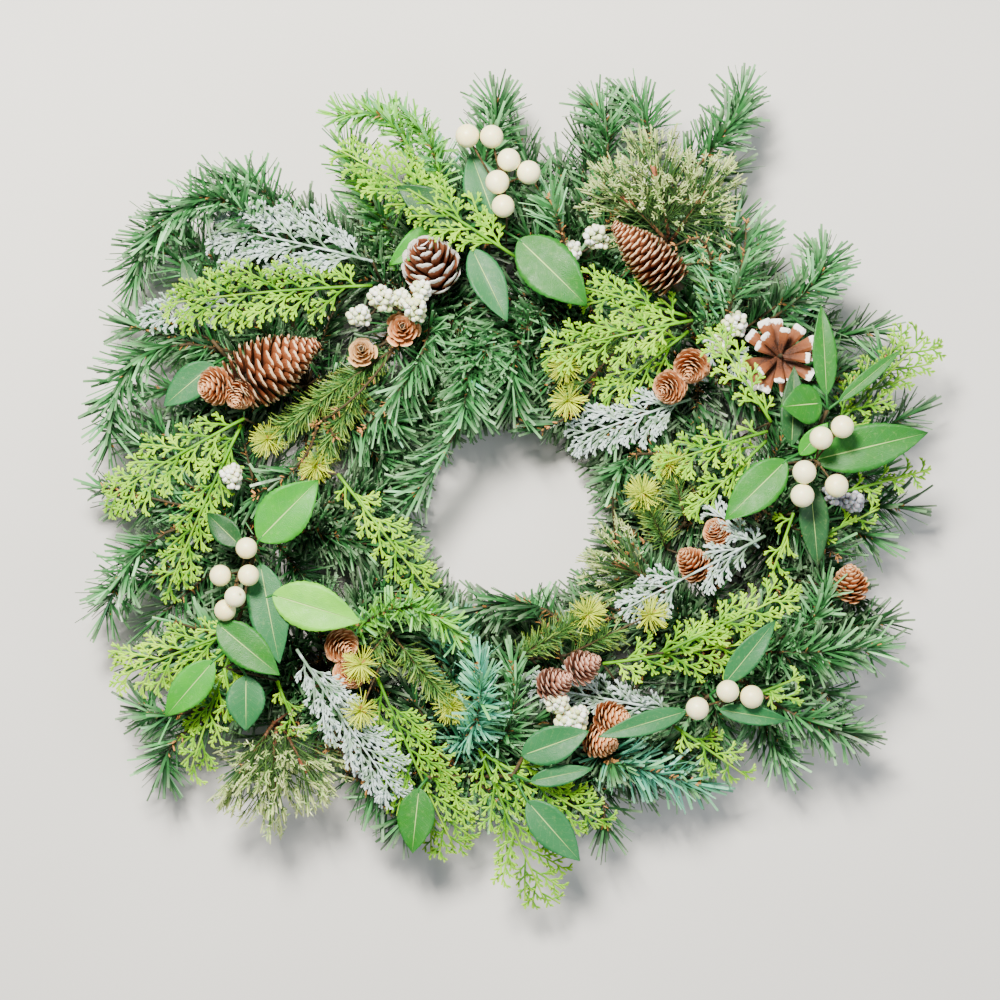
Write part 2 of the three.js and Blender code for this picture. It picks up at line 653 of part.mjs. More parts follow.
/** A cone or a bunch of small berries: a round body with rows of lozenges, each raised to a point. */
function scalySolid({ from, to, width, rows, around, flare }, bumps) {
  const foot = point(from);
  const axis = point(to).sub(foot);
  const length = axis.length();
  const corners = [[0, 0, 0]];
  const profile = (row) => {
    const share = row / (rows + 1);
    const swell = bumps ? Math.sin(Math.PI * share) : Math.sin(Math.PI * share ** 0.72);
    return { radius: (width / 2) * Math.max(swell, 0.3), height: length * share };
  };
  for (let row = 1; row <= rows; row++) {
    const { radius, height } = profile(row);
    for (let i = 0; i < around; i++) {
      const angle = ((i + (row % 2) / 2) * 2 * Math.PI) / around;
      corners.push([radius * Math.cos(angle), radius * Math.sin(angle), height]);
    }
  }
  const crown = corners.push([0, 0, length]) - 1;
  const corner = (row, i) => 1 + (row - 1) * around + ((i + around) % around);
  const triangles = [];
  for (let row = 1; row <= rows; row++) {
    const { radius, height } = profile(row);
    const shift = row % 2;
    for (let i = 0; i < around; i++) {
      const left = corner(row, i);
      const right = corner(row, i + 1);
      const above = row === rows ? crown : corner(row + 1, i + shift);
      const below = row === 1 ? 0 : corner(row - 1, i + shift);
      const angle = ((i + 0.5 + shift / 2) * 2 * Math.PI) / around;
      const reach = radius + flare;
      const rise = bumps ? (height - length / 2) * BUMP_RISE : (SCALE_RISE * length) / (rows + 1);
      const top = corners.push([reach * Math.cos(angle), reach * Math.sin(angle), height + rise]) - 1;
      triangles.push([left, below, top], [below, right, top], [right, above, top], [above, left, top]);
    }
  }
  const body = trianglesOf(corners, triangles);
  body.applyQuaternion(new THREE.Quaternion().setFromUnitVectors(UP, axis.normalize()));
  body.translate(...from);
  return solidOf(body);
}

const LEAF_THICK = 0.9;
const LEAF_ROWS = [[0, 0.08], [0.32, 0.92], [0.7, 0.84]]; // along, and share of half width

/** A leaf from its stem: two faces split alike, a thickness apart, folded on the midrib and arched. */
function leafSolid({ from, to, width }, stem) {
  const start = point(from);
  const along = point(to).sub(start);
  const length = along.length();
  along.normalize();
  const across = new THREE.Vector3().crossVectors(UP, along).normalize();
  const up = new THREE.Vector3().crossVectors(along, across);
  const at = (share, side, height) => {
    const sink = 0.16 * Math.abs(side) * (width / 2) + 0.16 * length * share * (1 - share);
    const corner = start.clone().addScaledVector(along, share * length);
    corner.addScaledVector(across, (side * width) / 2);
    return corner.addScaledVector(up, sink + height).toArray();
  };
  const thick = start.clone().sub(stem).cross(across).normalize();
  const face = (height) => [
    stem.clone().addScaledVector(thick, height - LEAF_THICK / 2).toArray(),
    ...LEAF_ROWS.flatMap(([share, half]) => [-half, 0, half].map((side) => at(share, side, height))),
    at(1, 0, height),
  ];
  const last = 3 * LEAF_ROWS.length + 1;
  const split = [[0, 2, 1], [0, 3, 2], [last - 3, last - 2, last], [last - 2, last - 1, last]];
  for (let row = 0; row < LEAF_ROWS.length - 1; row++) {
    const [a, b, c] = [1, 2, 3].map((i) => i + 3 * row);
    split.push([a, b, a + 3], [b, b + 3, a + 3], [b, c, b + 3], [c, c + 3, b + 3]);
  }
  const count = last + 1;
  const rim = [0, ...LEAF_ROWS.map((_, row) => 3 + 3 * row), last];
  rim.push(...LEAF_ROWS.map((_, row) => 1 + 3 * row).reverse());
  const triangles = [...split, ...split.map(([a, b, c]) => [a + count, c + count, b + count])];
  rim.forEach((a, i) => {
    const b = rim[(i + 1) % rim.length];
    triangles.push([b, a, a + count], [b, a + count, b + count]);
  });
  return solidOf(trianglesOf([...face(LEAF_THICK), ...face(0)], triangles));
}

const STALK = 1.1;

/** A sprig of leaves on its stem. */
function sprigSolid({ stem, leaves }) {
  const nodes = stem.map(point);
  const past = (end, before) => end.clone().lerp(before, -2 / end.distanceTo(before));
  const ends = [past(nodes[0], nodes[1]), past(nodes.at(-1), nodes.at(-2))];
  const pieces = [wireSolid([ends[0], ...nodes.slice(1, -1), ends[1]], STALK * 1.3)];
  for (const leaf of leaves) {
    const base = point(leaf.from);
    const nearest = nodes.reduce((a, b) => (a.distanceTo(base) < b.distanceTo(base) ? a : b));
    pieces.push(leafSolid(leaf, nearest));
  }
  return joined(pieces);
}

/** Cream berries on stalks that leave one stem, each higher than the last. */
function spraySolid({ heart, berries }) {
  const root = point(heart);
  const crown = new THREE.Vector3(0, 0, -CREAM_BERRY);
  for (const berry of berries) crown.addScaledVector(point(berry), 1 / berries.length);
  const pieces = [wireSolid([root, crown], STALK)];
  berries.forEach((berry, i) => {
    const ball = new THREE.IcosahedronGeometry(CREAM_BERRY, 0).translate(...berry);
    const fork = root.clone().lerp(crown, (i + 1) / (berries.length + 1));
    pieces.push(wireSolid([fork, fork.clone().lerp(point(berry), 0.9)], PICK_WIRE), solidOf(ball));
  });
  return joined(pieces);
}

const FROND_THICK = 0.9;
const RIB = 1.3; // half the width of a frond's rib at its root
const FROND_ROOT = 0.03; // where its wire begins, as a share of its length

/** The cut outline of a frond: slim side sprigs leaning forward on both sides of a rib. */
function frondShape(length, reach, sprigs, crowd) {
  const shape = new THREE.Shape();
  const edge = (side) => {
    const points = [];
    for (let i = 0; i < sprigs; i++) {
      const at = length * (0.1 + (0.84 * (i + (side > 0 ? 0.5 : 0))) / sprigs);
      const share = at / length;
      const long = reach * Math.sin(Math.PI * (0.12 + 0.8 * share)) ** 0.7 * (i % 3 === 1 ? 0.84 : 1);
      const rib = RIB * (1 - 0.6 * share);
      const wide = crowd * (length / sprigs) * 0.5;
      points.push([at, side * rib], [at + 0.7 * long, side * 0.72 * long], [at + wide, side * rib]);
    }
    return points;
  };
  const outline = [[0, -RIB], ...edge(-1), [length, 0], ...edge(1).reverse(), [0, RIB]];
  outline.forEach(([x, y], i) => (i ? shape.lineTo(x, y) : shape.moveTo(x, y)));
  shape.closePath();
  return shape;
}

/** How far an arched rib stands over the straight line between its ends. */
const ribRise = (length, share) => 0.3 * length * share * (1 - share);

/** Where the wire of a spray begins, within the rib of its first frond. */
function frondRoot({ from, to }) {
  const length = point(from).distanceTo(point(to));
  const rise = ribRise(length, FROND_ROOT) + FROND_THICK / 2;
  return point(ahead(from, to, FROND_ROOT)).addScaledVector(UP, rise).toArray();
}

/** A frond: a thin arched blade with a cut outline, its sides drooping from the rib. */
function frondSolid({ from, to, reach, sprigs }, crowd) {
  const start = point(from);
  const along = point(to).sub(start);
  const length = along.length();
  along.normalize();
  const across = new THREE.Vector3().crossVectors(UP, along).normalize();
  const up = new THREE.Vector3().crossVectors(along, across);
  const blade = new THREE.ExtrudeGeometry(frondShape(length, reach, sprigs, crowd), {
    depth: FROND_THICK,
    bevelEnabled: false,
  });
  const position = blade.attributes.position;
  for (let i = 0; i < position.count; i++) {
    const [u, v, w] = [position.getX(i), position.getY(i), position.getZ(i)];
    const share = u / length;
    const rise = ribRise(length, share) - (0.2 * v * v) / reach;
    const corner = start.clone().addScaledVector(along, u).addScaledVector(across, v);
    corner.addScaledVector(up, rise + w);
    position.setXYZ(i, corner.x, corner.y, corner.z);
  }
  return solidOf(blade);
}

// ---- Hanging a piece on the ring ----------------------------------------------------------------------
const BOWS = [8, -8, 16, -16, 26, -26, 38, -38].flatMap((bow) => [0, 14, -14].map((bulge) => [bow, bulge]));
const HOOK_TRIES = 30; // places on the ring that a pick tries, from the nearest
const free = new Set(Array(PLACES).keys());
const collarPlace = (bunch) => bunch * PINE_PLACES + FIRST_COLLAR;
PINE_BUNCHES.forEach((_, i) => [-1, 0, 1].forEach((beside) => free.delete(collarPlace(i) + beside)));

/** The wire from a body down to the ring and hooked under it, by the first clear way. */
function hookSolid(name, root) {
  const angle = Math.atan2(root.y, root.x);
  const away = (index) => {
    const turn = ((index + 0.5) * 2 * Math.PI) / PLACES - angle;
    return Math.abs(Math.atan2(Math.sin(turn), Math.cos(turn)));
  };
  const nearest = [...free].sort((a, b) => away(a) - away(b)).slice(0, HOOK_TRIES);
  for (const index of nearest) {
    const { at, out, along } = ringPlace(index);
    const side = Math.hypot(root.x, root.y) > RING_RADIUS ? 1 : -1;
    for (const way of [side, -side]) {
      const hook = (outwards, up) =>
        at.clone().addScaledVector(out, way * outwards).addScaledVector(UP, up);
      const top = hook(HOOK_REACH, HOOK_TOP);
      const under = [hook(HOOK_REACH, -HOOK_REACH), hook(-HOOK_REACH, -HOOK_REACH), hook(-HOOK_REACH, 1)];
      const ways = BOWS.map(([bow, bulge]) => [
        root.clone().lerp(top, 0.5).addScaledVector(along, bow).addScaledVector(out, bulge),
        top,
      ]);
      for (const bends of [[], [top], ...ways]) {
        const wire = wireSolid([root, ...bends, ...under], PICK_WIRE);
        if (!isClear(wire, TOUCH_GAP, name)) continue;
        free.delete(index);
        return wire;
      }
    }
  }
  throw new Error(name + " has no clear way to the ring");
}

// ---- Building -----------------------------------------------------------------------------------------
place("wire_ring", ringSolid());

// The bare stems of the pine come first, and everything else stands clear of them.
const pine = PINE_BUNCHES.map((bunch, i) => {
  const { at, out, along } = ringPlace(collarPlace(i));
  const branches = [];
  for (const part of ["outer", "inner", "front"]) {
    bunch[part].forEach((tip, k) => {
      const { angle, arch, kind } = BRANCHING[part];
      const spread = ROOT_STEP * (k - (bunch[part].length - 1) / 2) * (part === "inner" ? -1 : 1);
      const from = at.clone().addScaledVector(out, COLLAR_WALL * Math.cos(radians(angle)));
      from.addScaledVector(UP, COLLAR_WALL * Math.sin(radians(angle))).addScaledVector(along, spread);
      branches.push({ curve: branchCurve(from.toArray(), tip, arch), kind });
    });
  }
  const cores = branches.map(({ curve, kind }) => wireSolid(curve.getSpacedPoints(4), kind.stem));
  const name = "pine_bunch_" + String(i + 1).padStart(2, "0");
  place(name, joined([collarSolid(collarPlace(i)), ...cores]));
  return { name, branches, collar: collarSolid(collarPlace(i)) };
});

const picks = []; // name, finish, body, where its wire begins, and the branches still to be needled
function pick(name, finish, body, root, branches = [], ties = []) {
  if (!isClear(body, TOUCH_GAP, name)) throw new Error(name + " isn't clear of the others");
  place(name, body);
  picks.push({ name, finish, body, root: point(root), branches, ties });
}

for (const [name, cones] of Object.entries(CONES)) {
  const bodies = cones.map((cone) => scalySolid(cone, false));
  const hearts = cones.map(({ from, to }) => point(ahead(from, to, WIRE_AT.tie)));
  if (hearts.length > 1) bodies.push(wireSolid(hearts, STALK));
  pick(name, "cone", joined(bodies), ahead(cones[0].from, cones[0].to, WIRE_AT.cone));
}
for (const [name, sprig] of Object.entries(LEAFY_SPRIGS)) {
  pick(name, "leaf", sprigSolid(sprig), sprig.stem[0]);
}
for (const [name, spray] of Object.entries(CREAM_SPRAYS)) {
  pick(name, "cream", spraySolid(spray), spray.heart);
}
for (const [name, balls] of Object.entries(BERRY_CLUSTERS)) {
  const hearts = balls.map(({ from, to }) => point(ahead(from, to, WIRE_AT.bunch)));
  const stalks = hearts.slice(1).map((heart) => wireSolid([hearts[0], heart], STALK));
  const bodies = balls.map((ball) => scalySolid(ball, true));
  pick(name, "pale_berry", joined([...bodies, ...stalks]), hearts[0].toArray());
}
const FRONDED = [
  { sprays: CEDAR_SPRAYS, finish: "cedar", crowd: 0.62 },
  { sprays: JUNIPER_SPRAYS, finish: "frost", crowd: 0.72 },
];
for (const { sprays, finish, crowd } of FRONDED) {
  for (const [name, fronds] of Object.entries(sprays)) {
    const hearts = fronds.map((frond) => point(frondRoot(frond)));
    const ties = hearts.slice(1).map((heart) => wireSolid([hearts[0], heart], THREAD));
    const blades = fronds.map((frond) => frondSolid(frond, crowd));
    pick(name, finish, joined([...blades, ...ties]), hearts[0].toArray());
  }
}
const NEEDLED = [
  { sprays: SPRUCE_TIPS, finish: "spruce", kind: SPRUCE },
  { sprays: LONG_NEEDLE_TUFTS, finish: "tuft", kind: LONG_TUFT },
];
for (const { sprays, finish, kind } of NEEDLED) {
  for (const [name, stems] of Object.entries(sprays)) {
    const branches = stems.map(({ from, to }) => ({ curve: branchCurve(from, to, TIP_ARCH), kind }));
    const cores = branches.map(({ curve }) => wireSolid(curve.getSpacedPoints(3), kind.stem));
    const hearts = stems.map(({ from }) => point(from));
    const ties = hearts.slice(1).map((heart) => wireSolid([hearts[0], heart], kind.stem));
    pick(name, finish, joined([...cores, ...ties]), stems[0].from, branches, ties);
  }
}

for (const one of picks) {
  one.wire = hookSolid(one.name, one.root);
  one.body = one.body.add(one.wire);
  place(one.name, one.body);
}

/** The needles of a pick's or a bunch's branches, grown where there is room for them. */
function grown(name, branches, others) {
  const sisters = branches.flatMap(({ curve }, stemOf) => {
    const stops = curve.getSpacedPoints(4);
    const lines = stops.slice(1).map((stop, i) => new THREE.Line3(stops[i], stop));
    return lines.map((line) => ({ line, gap: STEM_GAP, stemOf }));
  });
  const stems = branches.map(({ curve, kind }, branch) => needledStem(curve, kind, name, sisters, branch));
  return joined([...others, ...stems]);
}

for (const one of picks.filter((each) => each.branches.length)) {
  one.body = grown(one.name, one.branches, [one.wire, ...one.ties]);
  place(one.name, one.body);
}
for (const bunch of pine) {
  place(bunch.name, grown(bunch.name, bunch.branches, [bunch.collar]));
}

// ---- The wreath ---------------------------------------------------------------------------------------
const BRIGHT = "pine_bunch_04";
const wreath = new THREE.Group();
function show(name, finish) {
  const mesh = new THREE.Mesh(
    geometryOf(placed.get(name).solid),
    new THREE.MeshStandardMaterial({ ...FINISHES[finish], flatShading: true }),
  );
  mesh.name = name;
  wreath.add(mesh);
}
show("wire_ring", "ring");
for (const { name } of pine) show(name, name === BRIGHT ? "bright_pine" : "pine");
for (const { name, finish } of picks) show(name, finish);

const bounds = new THREE.Box3().setFromObject(wreath);
const middle = bounds.getCenter(new THREE.Vector3());
wreath.position.set(-middle.x, -middle.y, -bounds.min.z);

export default wreath;
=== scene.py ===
"""A mixed evergreen wreath on its back: the finished look of every piece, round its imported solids.

Sizes are in millimetres from the middle of the wire ring, with Z the height over the surface that
the wreath lies on, until a piece is made. Every piece is then set in metres in the solids' frame.
"""

import logging
import math
from dataclasses import dataclass, field, replace
from enum import Enum
from typing import ClassVar, Iterable, Sequence

import bpy
import numpy as np
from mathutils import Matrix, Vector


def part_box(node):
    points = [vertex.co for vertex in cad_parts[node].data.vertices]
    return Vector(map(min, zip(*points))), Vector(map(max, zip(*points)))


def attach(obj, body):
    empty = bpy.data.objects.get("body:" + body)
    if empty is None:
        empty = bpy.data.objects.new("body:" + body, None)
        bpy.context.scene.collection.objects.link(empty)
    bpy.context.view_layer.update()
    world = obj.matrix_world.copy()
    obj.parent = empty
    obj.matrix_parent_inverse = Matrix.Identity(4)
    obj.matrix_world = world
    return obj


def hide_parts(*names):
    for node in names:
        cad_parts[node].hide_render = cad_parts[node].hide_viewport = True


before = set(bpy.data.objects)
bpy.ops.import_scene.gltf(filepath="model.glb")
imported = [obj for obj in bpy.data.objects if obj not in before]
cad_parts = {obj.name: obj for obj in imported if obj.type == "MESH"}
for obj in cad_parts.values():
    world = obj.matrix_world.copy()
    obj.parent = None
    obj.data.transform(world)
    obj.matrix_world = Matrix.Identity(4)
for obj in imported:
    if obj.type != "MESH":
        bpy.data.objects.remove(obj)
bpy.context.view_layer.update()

MM = 0.001
UP = np.array([0.0, 0.0, 1.0])
EAST = np.array([1.0, 0.0, 0.0])
NEARLY_UPRIGHT = 0.9
GOLDEN = math.pi * (3 - math.sqrt(5))  # the turn from one needle, scale or berry to the next

RING_RADIUS = 178.0
COLLAR_RADIUS = 6.4
RING_HEIGHT = COLLAR_RADIUS * math.cos(math.pi / 6)  # the wound collars lie flat on the surface
HOLE_RADIUS = 58.0
LOWEST = 4.5  # the middle line of a needle comes no lower
MOST_CURL = 3.0

Place = Sequence[float]
Array = np.ndarray
Socket = bpy.types.NodeSocket
log = logging.getLogger("wreath")


def ring_middle() -> Array:
    """The point that every size starts from: the ring's middle in the solids' frame, at height zero."""
    low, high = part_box("wire_ring")
    return np.array([(low.x + high.x) / 2, (low.y + high.y) / 2, 0.0])


MIDDLE = ring_middle()


def unit(vectors: Array) -> Array:
    """The given vector, or rows of vectors, at a length of one."""
    return vectors / np.maximum(np.linalg.norm(vectors, axis=-1, keepdims=True), 1e-9)


def aside(axis: Array) -> Array:
    """A direction square to an axis, level unless the axis is nearly upright."""
    return unit(np.cross(axis, UP if abs(axis[2]) < NEARLY_UPRIGHT else EAST))


def around(turn: Array, side: Array, rise: Array) -> Array:
    """Directions at angles that start at one side and turn towards another square to it."""
    return np.cos(turn)[:, None] * side + np.sin(turn)[:, None] * rise


def lay(start: Place, end: Place) -> tuple[Array, Array, Array, Array, float]:
    """How a flat thing lies that runs from one place to another.

    Args:
        start: Where it starts.
        end: Where it ends.

    Returns:
        Its start, the directions along it, across it and up through it, and its length.
    """
    foot, tip = np.array(start, float), np.array(end, float)
    length = float(np.linalg.norm(tip - foot))
    along = (tip - foot) / length
    across = unit(np.cross(UP, along))
    return foot, along, across, np.cross(along, across), length


def stand(name: str, data: bpy.types.ID) -> bpy.types.Object:
    """Puts a new object in the scene.

    Args:
        name: Its name.
        data: Its mesh, lamp or camera.

    Returns:
        The object.
    """
    thing = bpy.data.objects.new(name, data)
    bpy.context.scene.collection.objects.link(thing)
    return thing


# ---- Drawing ----


class Draft:
    """One piece as it is drawn: points, faces, the finish of each face and the paint of each point.

    Paint is three numbers from 0 to 1 that a finish reads: how far along its leaf, needle or scale a
    point is, how far across, and a tint that goes with the whole leaf, needle or scale.
    """

    def __init__(self) -> None:
        """Starts with nothing drawn."""
        self.points: list[Array] = []
        self.paint: list[Array] = []
        self.corners: list[Array] = []
        self.sides: list[Array] = []
        self.finishes: list[Array] = []
        self.smooth: list[Array] = []
        self.count = 0

    def add(
        self, points: Array, faces: Iterable[Array], paint: Array, finish: int = 0, smooth: bool = False
    ) -> None:
        """Adds a part of the piece.

        Args:
            points: Places in millimetres, in any layout of threes.
            faces: Arrays of rows of point numbers, one array for each number of sides.
            paint: Threes to go with the points, or one for all.
            finish: Which of the piece's finishes the faces take.
            smooth: Whether the faces are shaded as one curved surface.
        """
        for rows in faces:
            self.corners.append(rows.reshape(-1) + self.count)
            self.sides.append(np.full(len(rows), rows.shape[1]))
            self.finishes.append(np.full(len(rows), finish))
            self.smooth.append(np.full(len(rows), smooth))
        self.points.append(points.reshape(-1, 3))
        self.paint.append(np.broadcast_to(paint, points.shape).reshape(-1, 3))
        self.count += len(self.points[-1])

    def every_point(self) -> Array:
        """All the points drawn so far, as rows of three."""
        return np.concatenate(self.points)

    def piece(self, name: str, finishes: Sequence["Finish"], slot: str, node: str | None) -> None:
        """Makes the object, sets it in the frame and says what it stands for.

        Args:
            name: The piece's name.
            finishes: The finishes that its faces take, by number.
            slot: Not used.
            node: The solid that it replaces, if it has one.
        """
        mesh = bpy.data.meshes.new(name)
        points = self.every_point() * MM + MIDDLE
        corners = np.concatenate(self.corners)
        sides = np.concatenate(self.sides)
        mesh.vertices.add(len(points))
        mesh.vertices.foreach_set("co", points.astype(np.float32).reshape(-1))
        mesh.loops.add(len(corners))
        mesh.loops.foreach_set("vertex_index", corners.astype(np.int32))
        mesh.polygons.add(len(sides))
        starts = np.concatenate([[0], np.cumsum(sides)[:-1]])
        mesh.polygons.foreach_set("loop_start", starts.astype(np.int32))
        mesh.polygons.foreach_set("material_index", np.concatenate(self.finishes).astype(np.int32))
        mesh.polygons.foreach_set("use_smooth", np.concatenate(self.smooth))
        mesh.update(calc_edges=True)
        paint = mesh.attributes.new("paint", "FLOAT_VECTOR", "POINT")
        paint.data.foreach_set("vector", np.concatenate(self.paint).astype(np.float32).reshape(-1))
        for finish in finishes:
            mesh.materials.append(finish.material())
        thing = stand(name, mesh)
        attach(thing, "root")
        if node:
            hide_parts(node)
        log.info("%s: %d faces, for %s", name, len(sides), node or "the look alone")


def threes(first: object, second: object, third: object, layout: tuple[int, ...]) -> Array:
    """Threes of numbers in a layout, each number spread over the whole of it, such as places or paint."""
    return np.stack([np.broadcast_to(value, layout) for value in (first, second, third)], -1)


TRIANGLE = np.array([[1.0, -0.35], [0.0, 0.8], [-1.0, -0.35]])
DIAMOND = np.array([[1.0, 0.0], [0.0, 1.0], [-1.0, 0.0], [0.0, -1.0]])
LOZENGE = np.array([[1.0, 0.0], [0.55, 1.0], [-0.55, 1.0], [-1.0, 0.0], [-0.55, -1.0], [0.55, -1.0]])


@dataclass(frozen=True)
class RodShape:
    """What a kind of rod looks like: stations as (share of its length, half width, half thickness)."""

    stations: Sequence[tuple[float, float, float]] | Array
    section: Array


def rod_faces(rods: int, stations: int, corners: int) -> list[Array]:
    """The faces of a number of rods whose points lie station by station.

    Args:
        rods: How many rods.
        stations: Stations along each.
        corners: Corners round each station.

    Returns:
        The faces round the rods, and the faces at their two ends.
    """
    ring = np.arange(corners)
    after = np.roll(ring, -1)
    quads = [
        np.stack([ring + low, after + low, after + low + corners, ring + low + corners], 1)
        for low in range(0, (stations - 1) * corners, corners)
    ]
    ends = np.stack([ring[::-1], ring + (stations - 1) * corners])
    first = (np.arange(rods) * stations * corners)[:, None, None]
    round_them = (np.concatenate(quads)[None] + first).reshape(-1, 4)
    return [round_them, (ends[None] + first).reshape(-1, corners)]


def draw_rods(
    draft: Draft,
    shape: RodShape,
    base: Array,
    way: Array,
    flat: Array,
    length: Array,
    bend: Array | float = 0.0,
    girth: Array | float = 1.0,
    tint: Array | float = 0.5,
    finish: int = 0,
) -> None:
    """Draws many rods of one shape, such as needles, twigs or scales.

    Args:
        draft: The piece to draw in.
        shape: The shape that they share.
        base: Where each begins.
        way: Which way each runs.
        flat: A direction near that of its width.
        length: How long each is.
        bend: How far each one's end is bent aside, square to its width, or by which row of three.
        girth: Each one's width and thickness as a share of the shape's.
        tint: Each one's tint.
        finish: Which of the piece's finishes they take.
    """
    count = len(base)
    if not count:
        return
    share, wide, thick = np.array(shape.stations).T
    way = unit(way)
    side = unit(flat - way * (flat * way).sum(1, keepdims=True))
    normal = np.cross(way, side)
    bow = bend if np.ndim(bend) == 2 else normal * np.broadcast_to(bend, count)[:, None]
    girth = np.broadcast_to(girth, count)
    centre = base[:, None] + way[:, None] * (length[:, None] * share)[..., None]
    centre = centre + bow[:, None] * (share**2)[:, None]
    across = (girth[:, None, None] * wide[None, :, None] * shape.section[:, 0])[..., None]
    through = (girth[:, None, None] * thick[None, :, None] * shape.section[:, 1])[..., None]
    points = centre[:, :, None] + side[:, None, None] * across + normal[:, None, None] * through
    tints = np.broadcast_to(tint, count)[:, None, None]
    paint = threes(share[:, None], shape.section[:, 0] * 0.5 + 0.5, tints, points.shape[:-1])
    draft.add(points, rod_faces(count, len(share), len(shape.section)), paint, finish)


def sweep(
    draft: Draft, path: Array, radii: Array | float, sides: int = 8, tint: float = 0.5, finish: int = 0
) -> None:
    """Draws a round wire or stalk along a path.

    Args:
        draft: The piece to draw in.
        path: Points along the middle of the wire.
        radii: The wire's radius at each point, or one for all.
        sides: Sides of its section.
        tint: Its tint.
        finish: Which of the piece's finishes it takes.
    """
    along = unit(np.gradient(path, axis=0))
    side = aside(along[0])
    rings = []
    angle = np.arange(sides) * 2 * math.pi / sides
    for at, forward, radius in zip(path, along, np.broadcast_to(radii, len(path))):
        side = unit(side - forward * side.dot(forward))
        normal = np.cross(forward, side)
        rings.append(at + radius * around(angle, side, normal))
    layout = (len(path), sides)
    paint = threes(np.linspace(0, 1, len(path))[:, None], np.arange(sides) / sides, tint, layout)
    draft.add(np.array(rings), rod_faces(1, *layout), paint, finish, True)


class Ball:
    """A round berry's points and faces, made once and drawn many times."""

    DIMPLE = 0.09
    DIMPLE_WIDTH = 0.02

    def __init__(self, rows: int, columns: int) -> None:
        """Lays the ball out in rows between two poles.

        Args:
            rows: Rows of points between the poles.
            columns: Points in each row.
        """
        turn = np.arange(columns) * 2 * math.pi / columns
        tilt = np.arange(1, rows + 1)[:, None] * math.pi / (rows + 1)
        grid = threes(np.sin(tilt) * np.cos(turn), np.sin(tilt) * np.sin(turn), np.cos(tilt), (rows, columns))
        self.points = np.concatenate([grid.reshape(-1, 3), [UP, -UP]])
        ring = np.arange(columns)
        after = np.roll(ring, -1)
        quads = [
            np.stack([ring + row, ring + row + columns, after + row + columns, after + row], 1)
            for row in range(0, (rows - 1) * columns, columns)
        ]
        top = np.stack([np.full(columns, rows * columns), ring, after], 1)
        last = (rows - 1) * columns
        bottom = np.stack([np.full(columns, rows * columns + 1), after + last, ring + last], 1)
        self.faces = [np.concatenate(quads), np.concatenate([top, bottom])]

    def draw(self, draft: Draft, at: Array, radius: float, axis: Array, tint: float) -> None:
        """Draws the ball once.

        Args:
            draft: The piece to draw in.
            at: Its middle.
            radius: Its radius.
            axis: Which way its eye, the painted and dimpled pole, looks.
            tint: Its tint.
        """
        axis = unit(axis)
        side = aside(axis)
        turned = np.stack([side, np.cross(axis, side), axis])
        dimple = 1 - self.DIMPLE * np.exp(-((1 - self.points[:, 2:]) / self.DIMPLE_WIDTH))
        paint = threes((1 - self.points[:, 2]) / 2, 0.5, tint, (len(self.points),))
        draft.add(at + radius * (self.points * dimple) @ turned, self.faces, paint, 0, True)


# ---- Finishes ----


def tone(code: str) -> tuple[float, float, float, float]:
    """A colour written as on a paint card, as light.

    Args:
        code: Red, green and blue in pairs of hexadecimal digits.

    Returns:
        The same colour in linear light, with full cover.
    """
    parts = [int(code[i : i + 2], 16) / 255 for i in (0, 2, 4)]
    linear = [c / 12.92 if c <= 0.04045 else ((c + 0.055) / 1.055) ** 2.4 for c in parts]
    return linear[0], linear[1], linear[2], 1.0


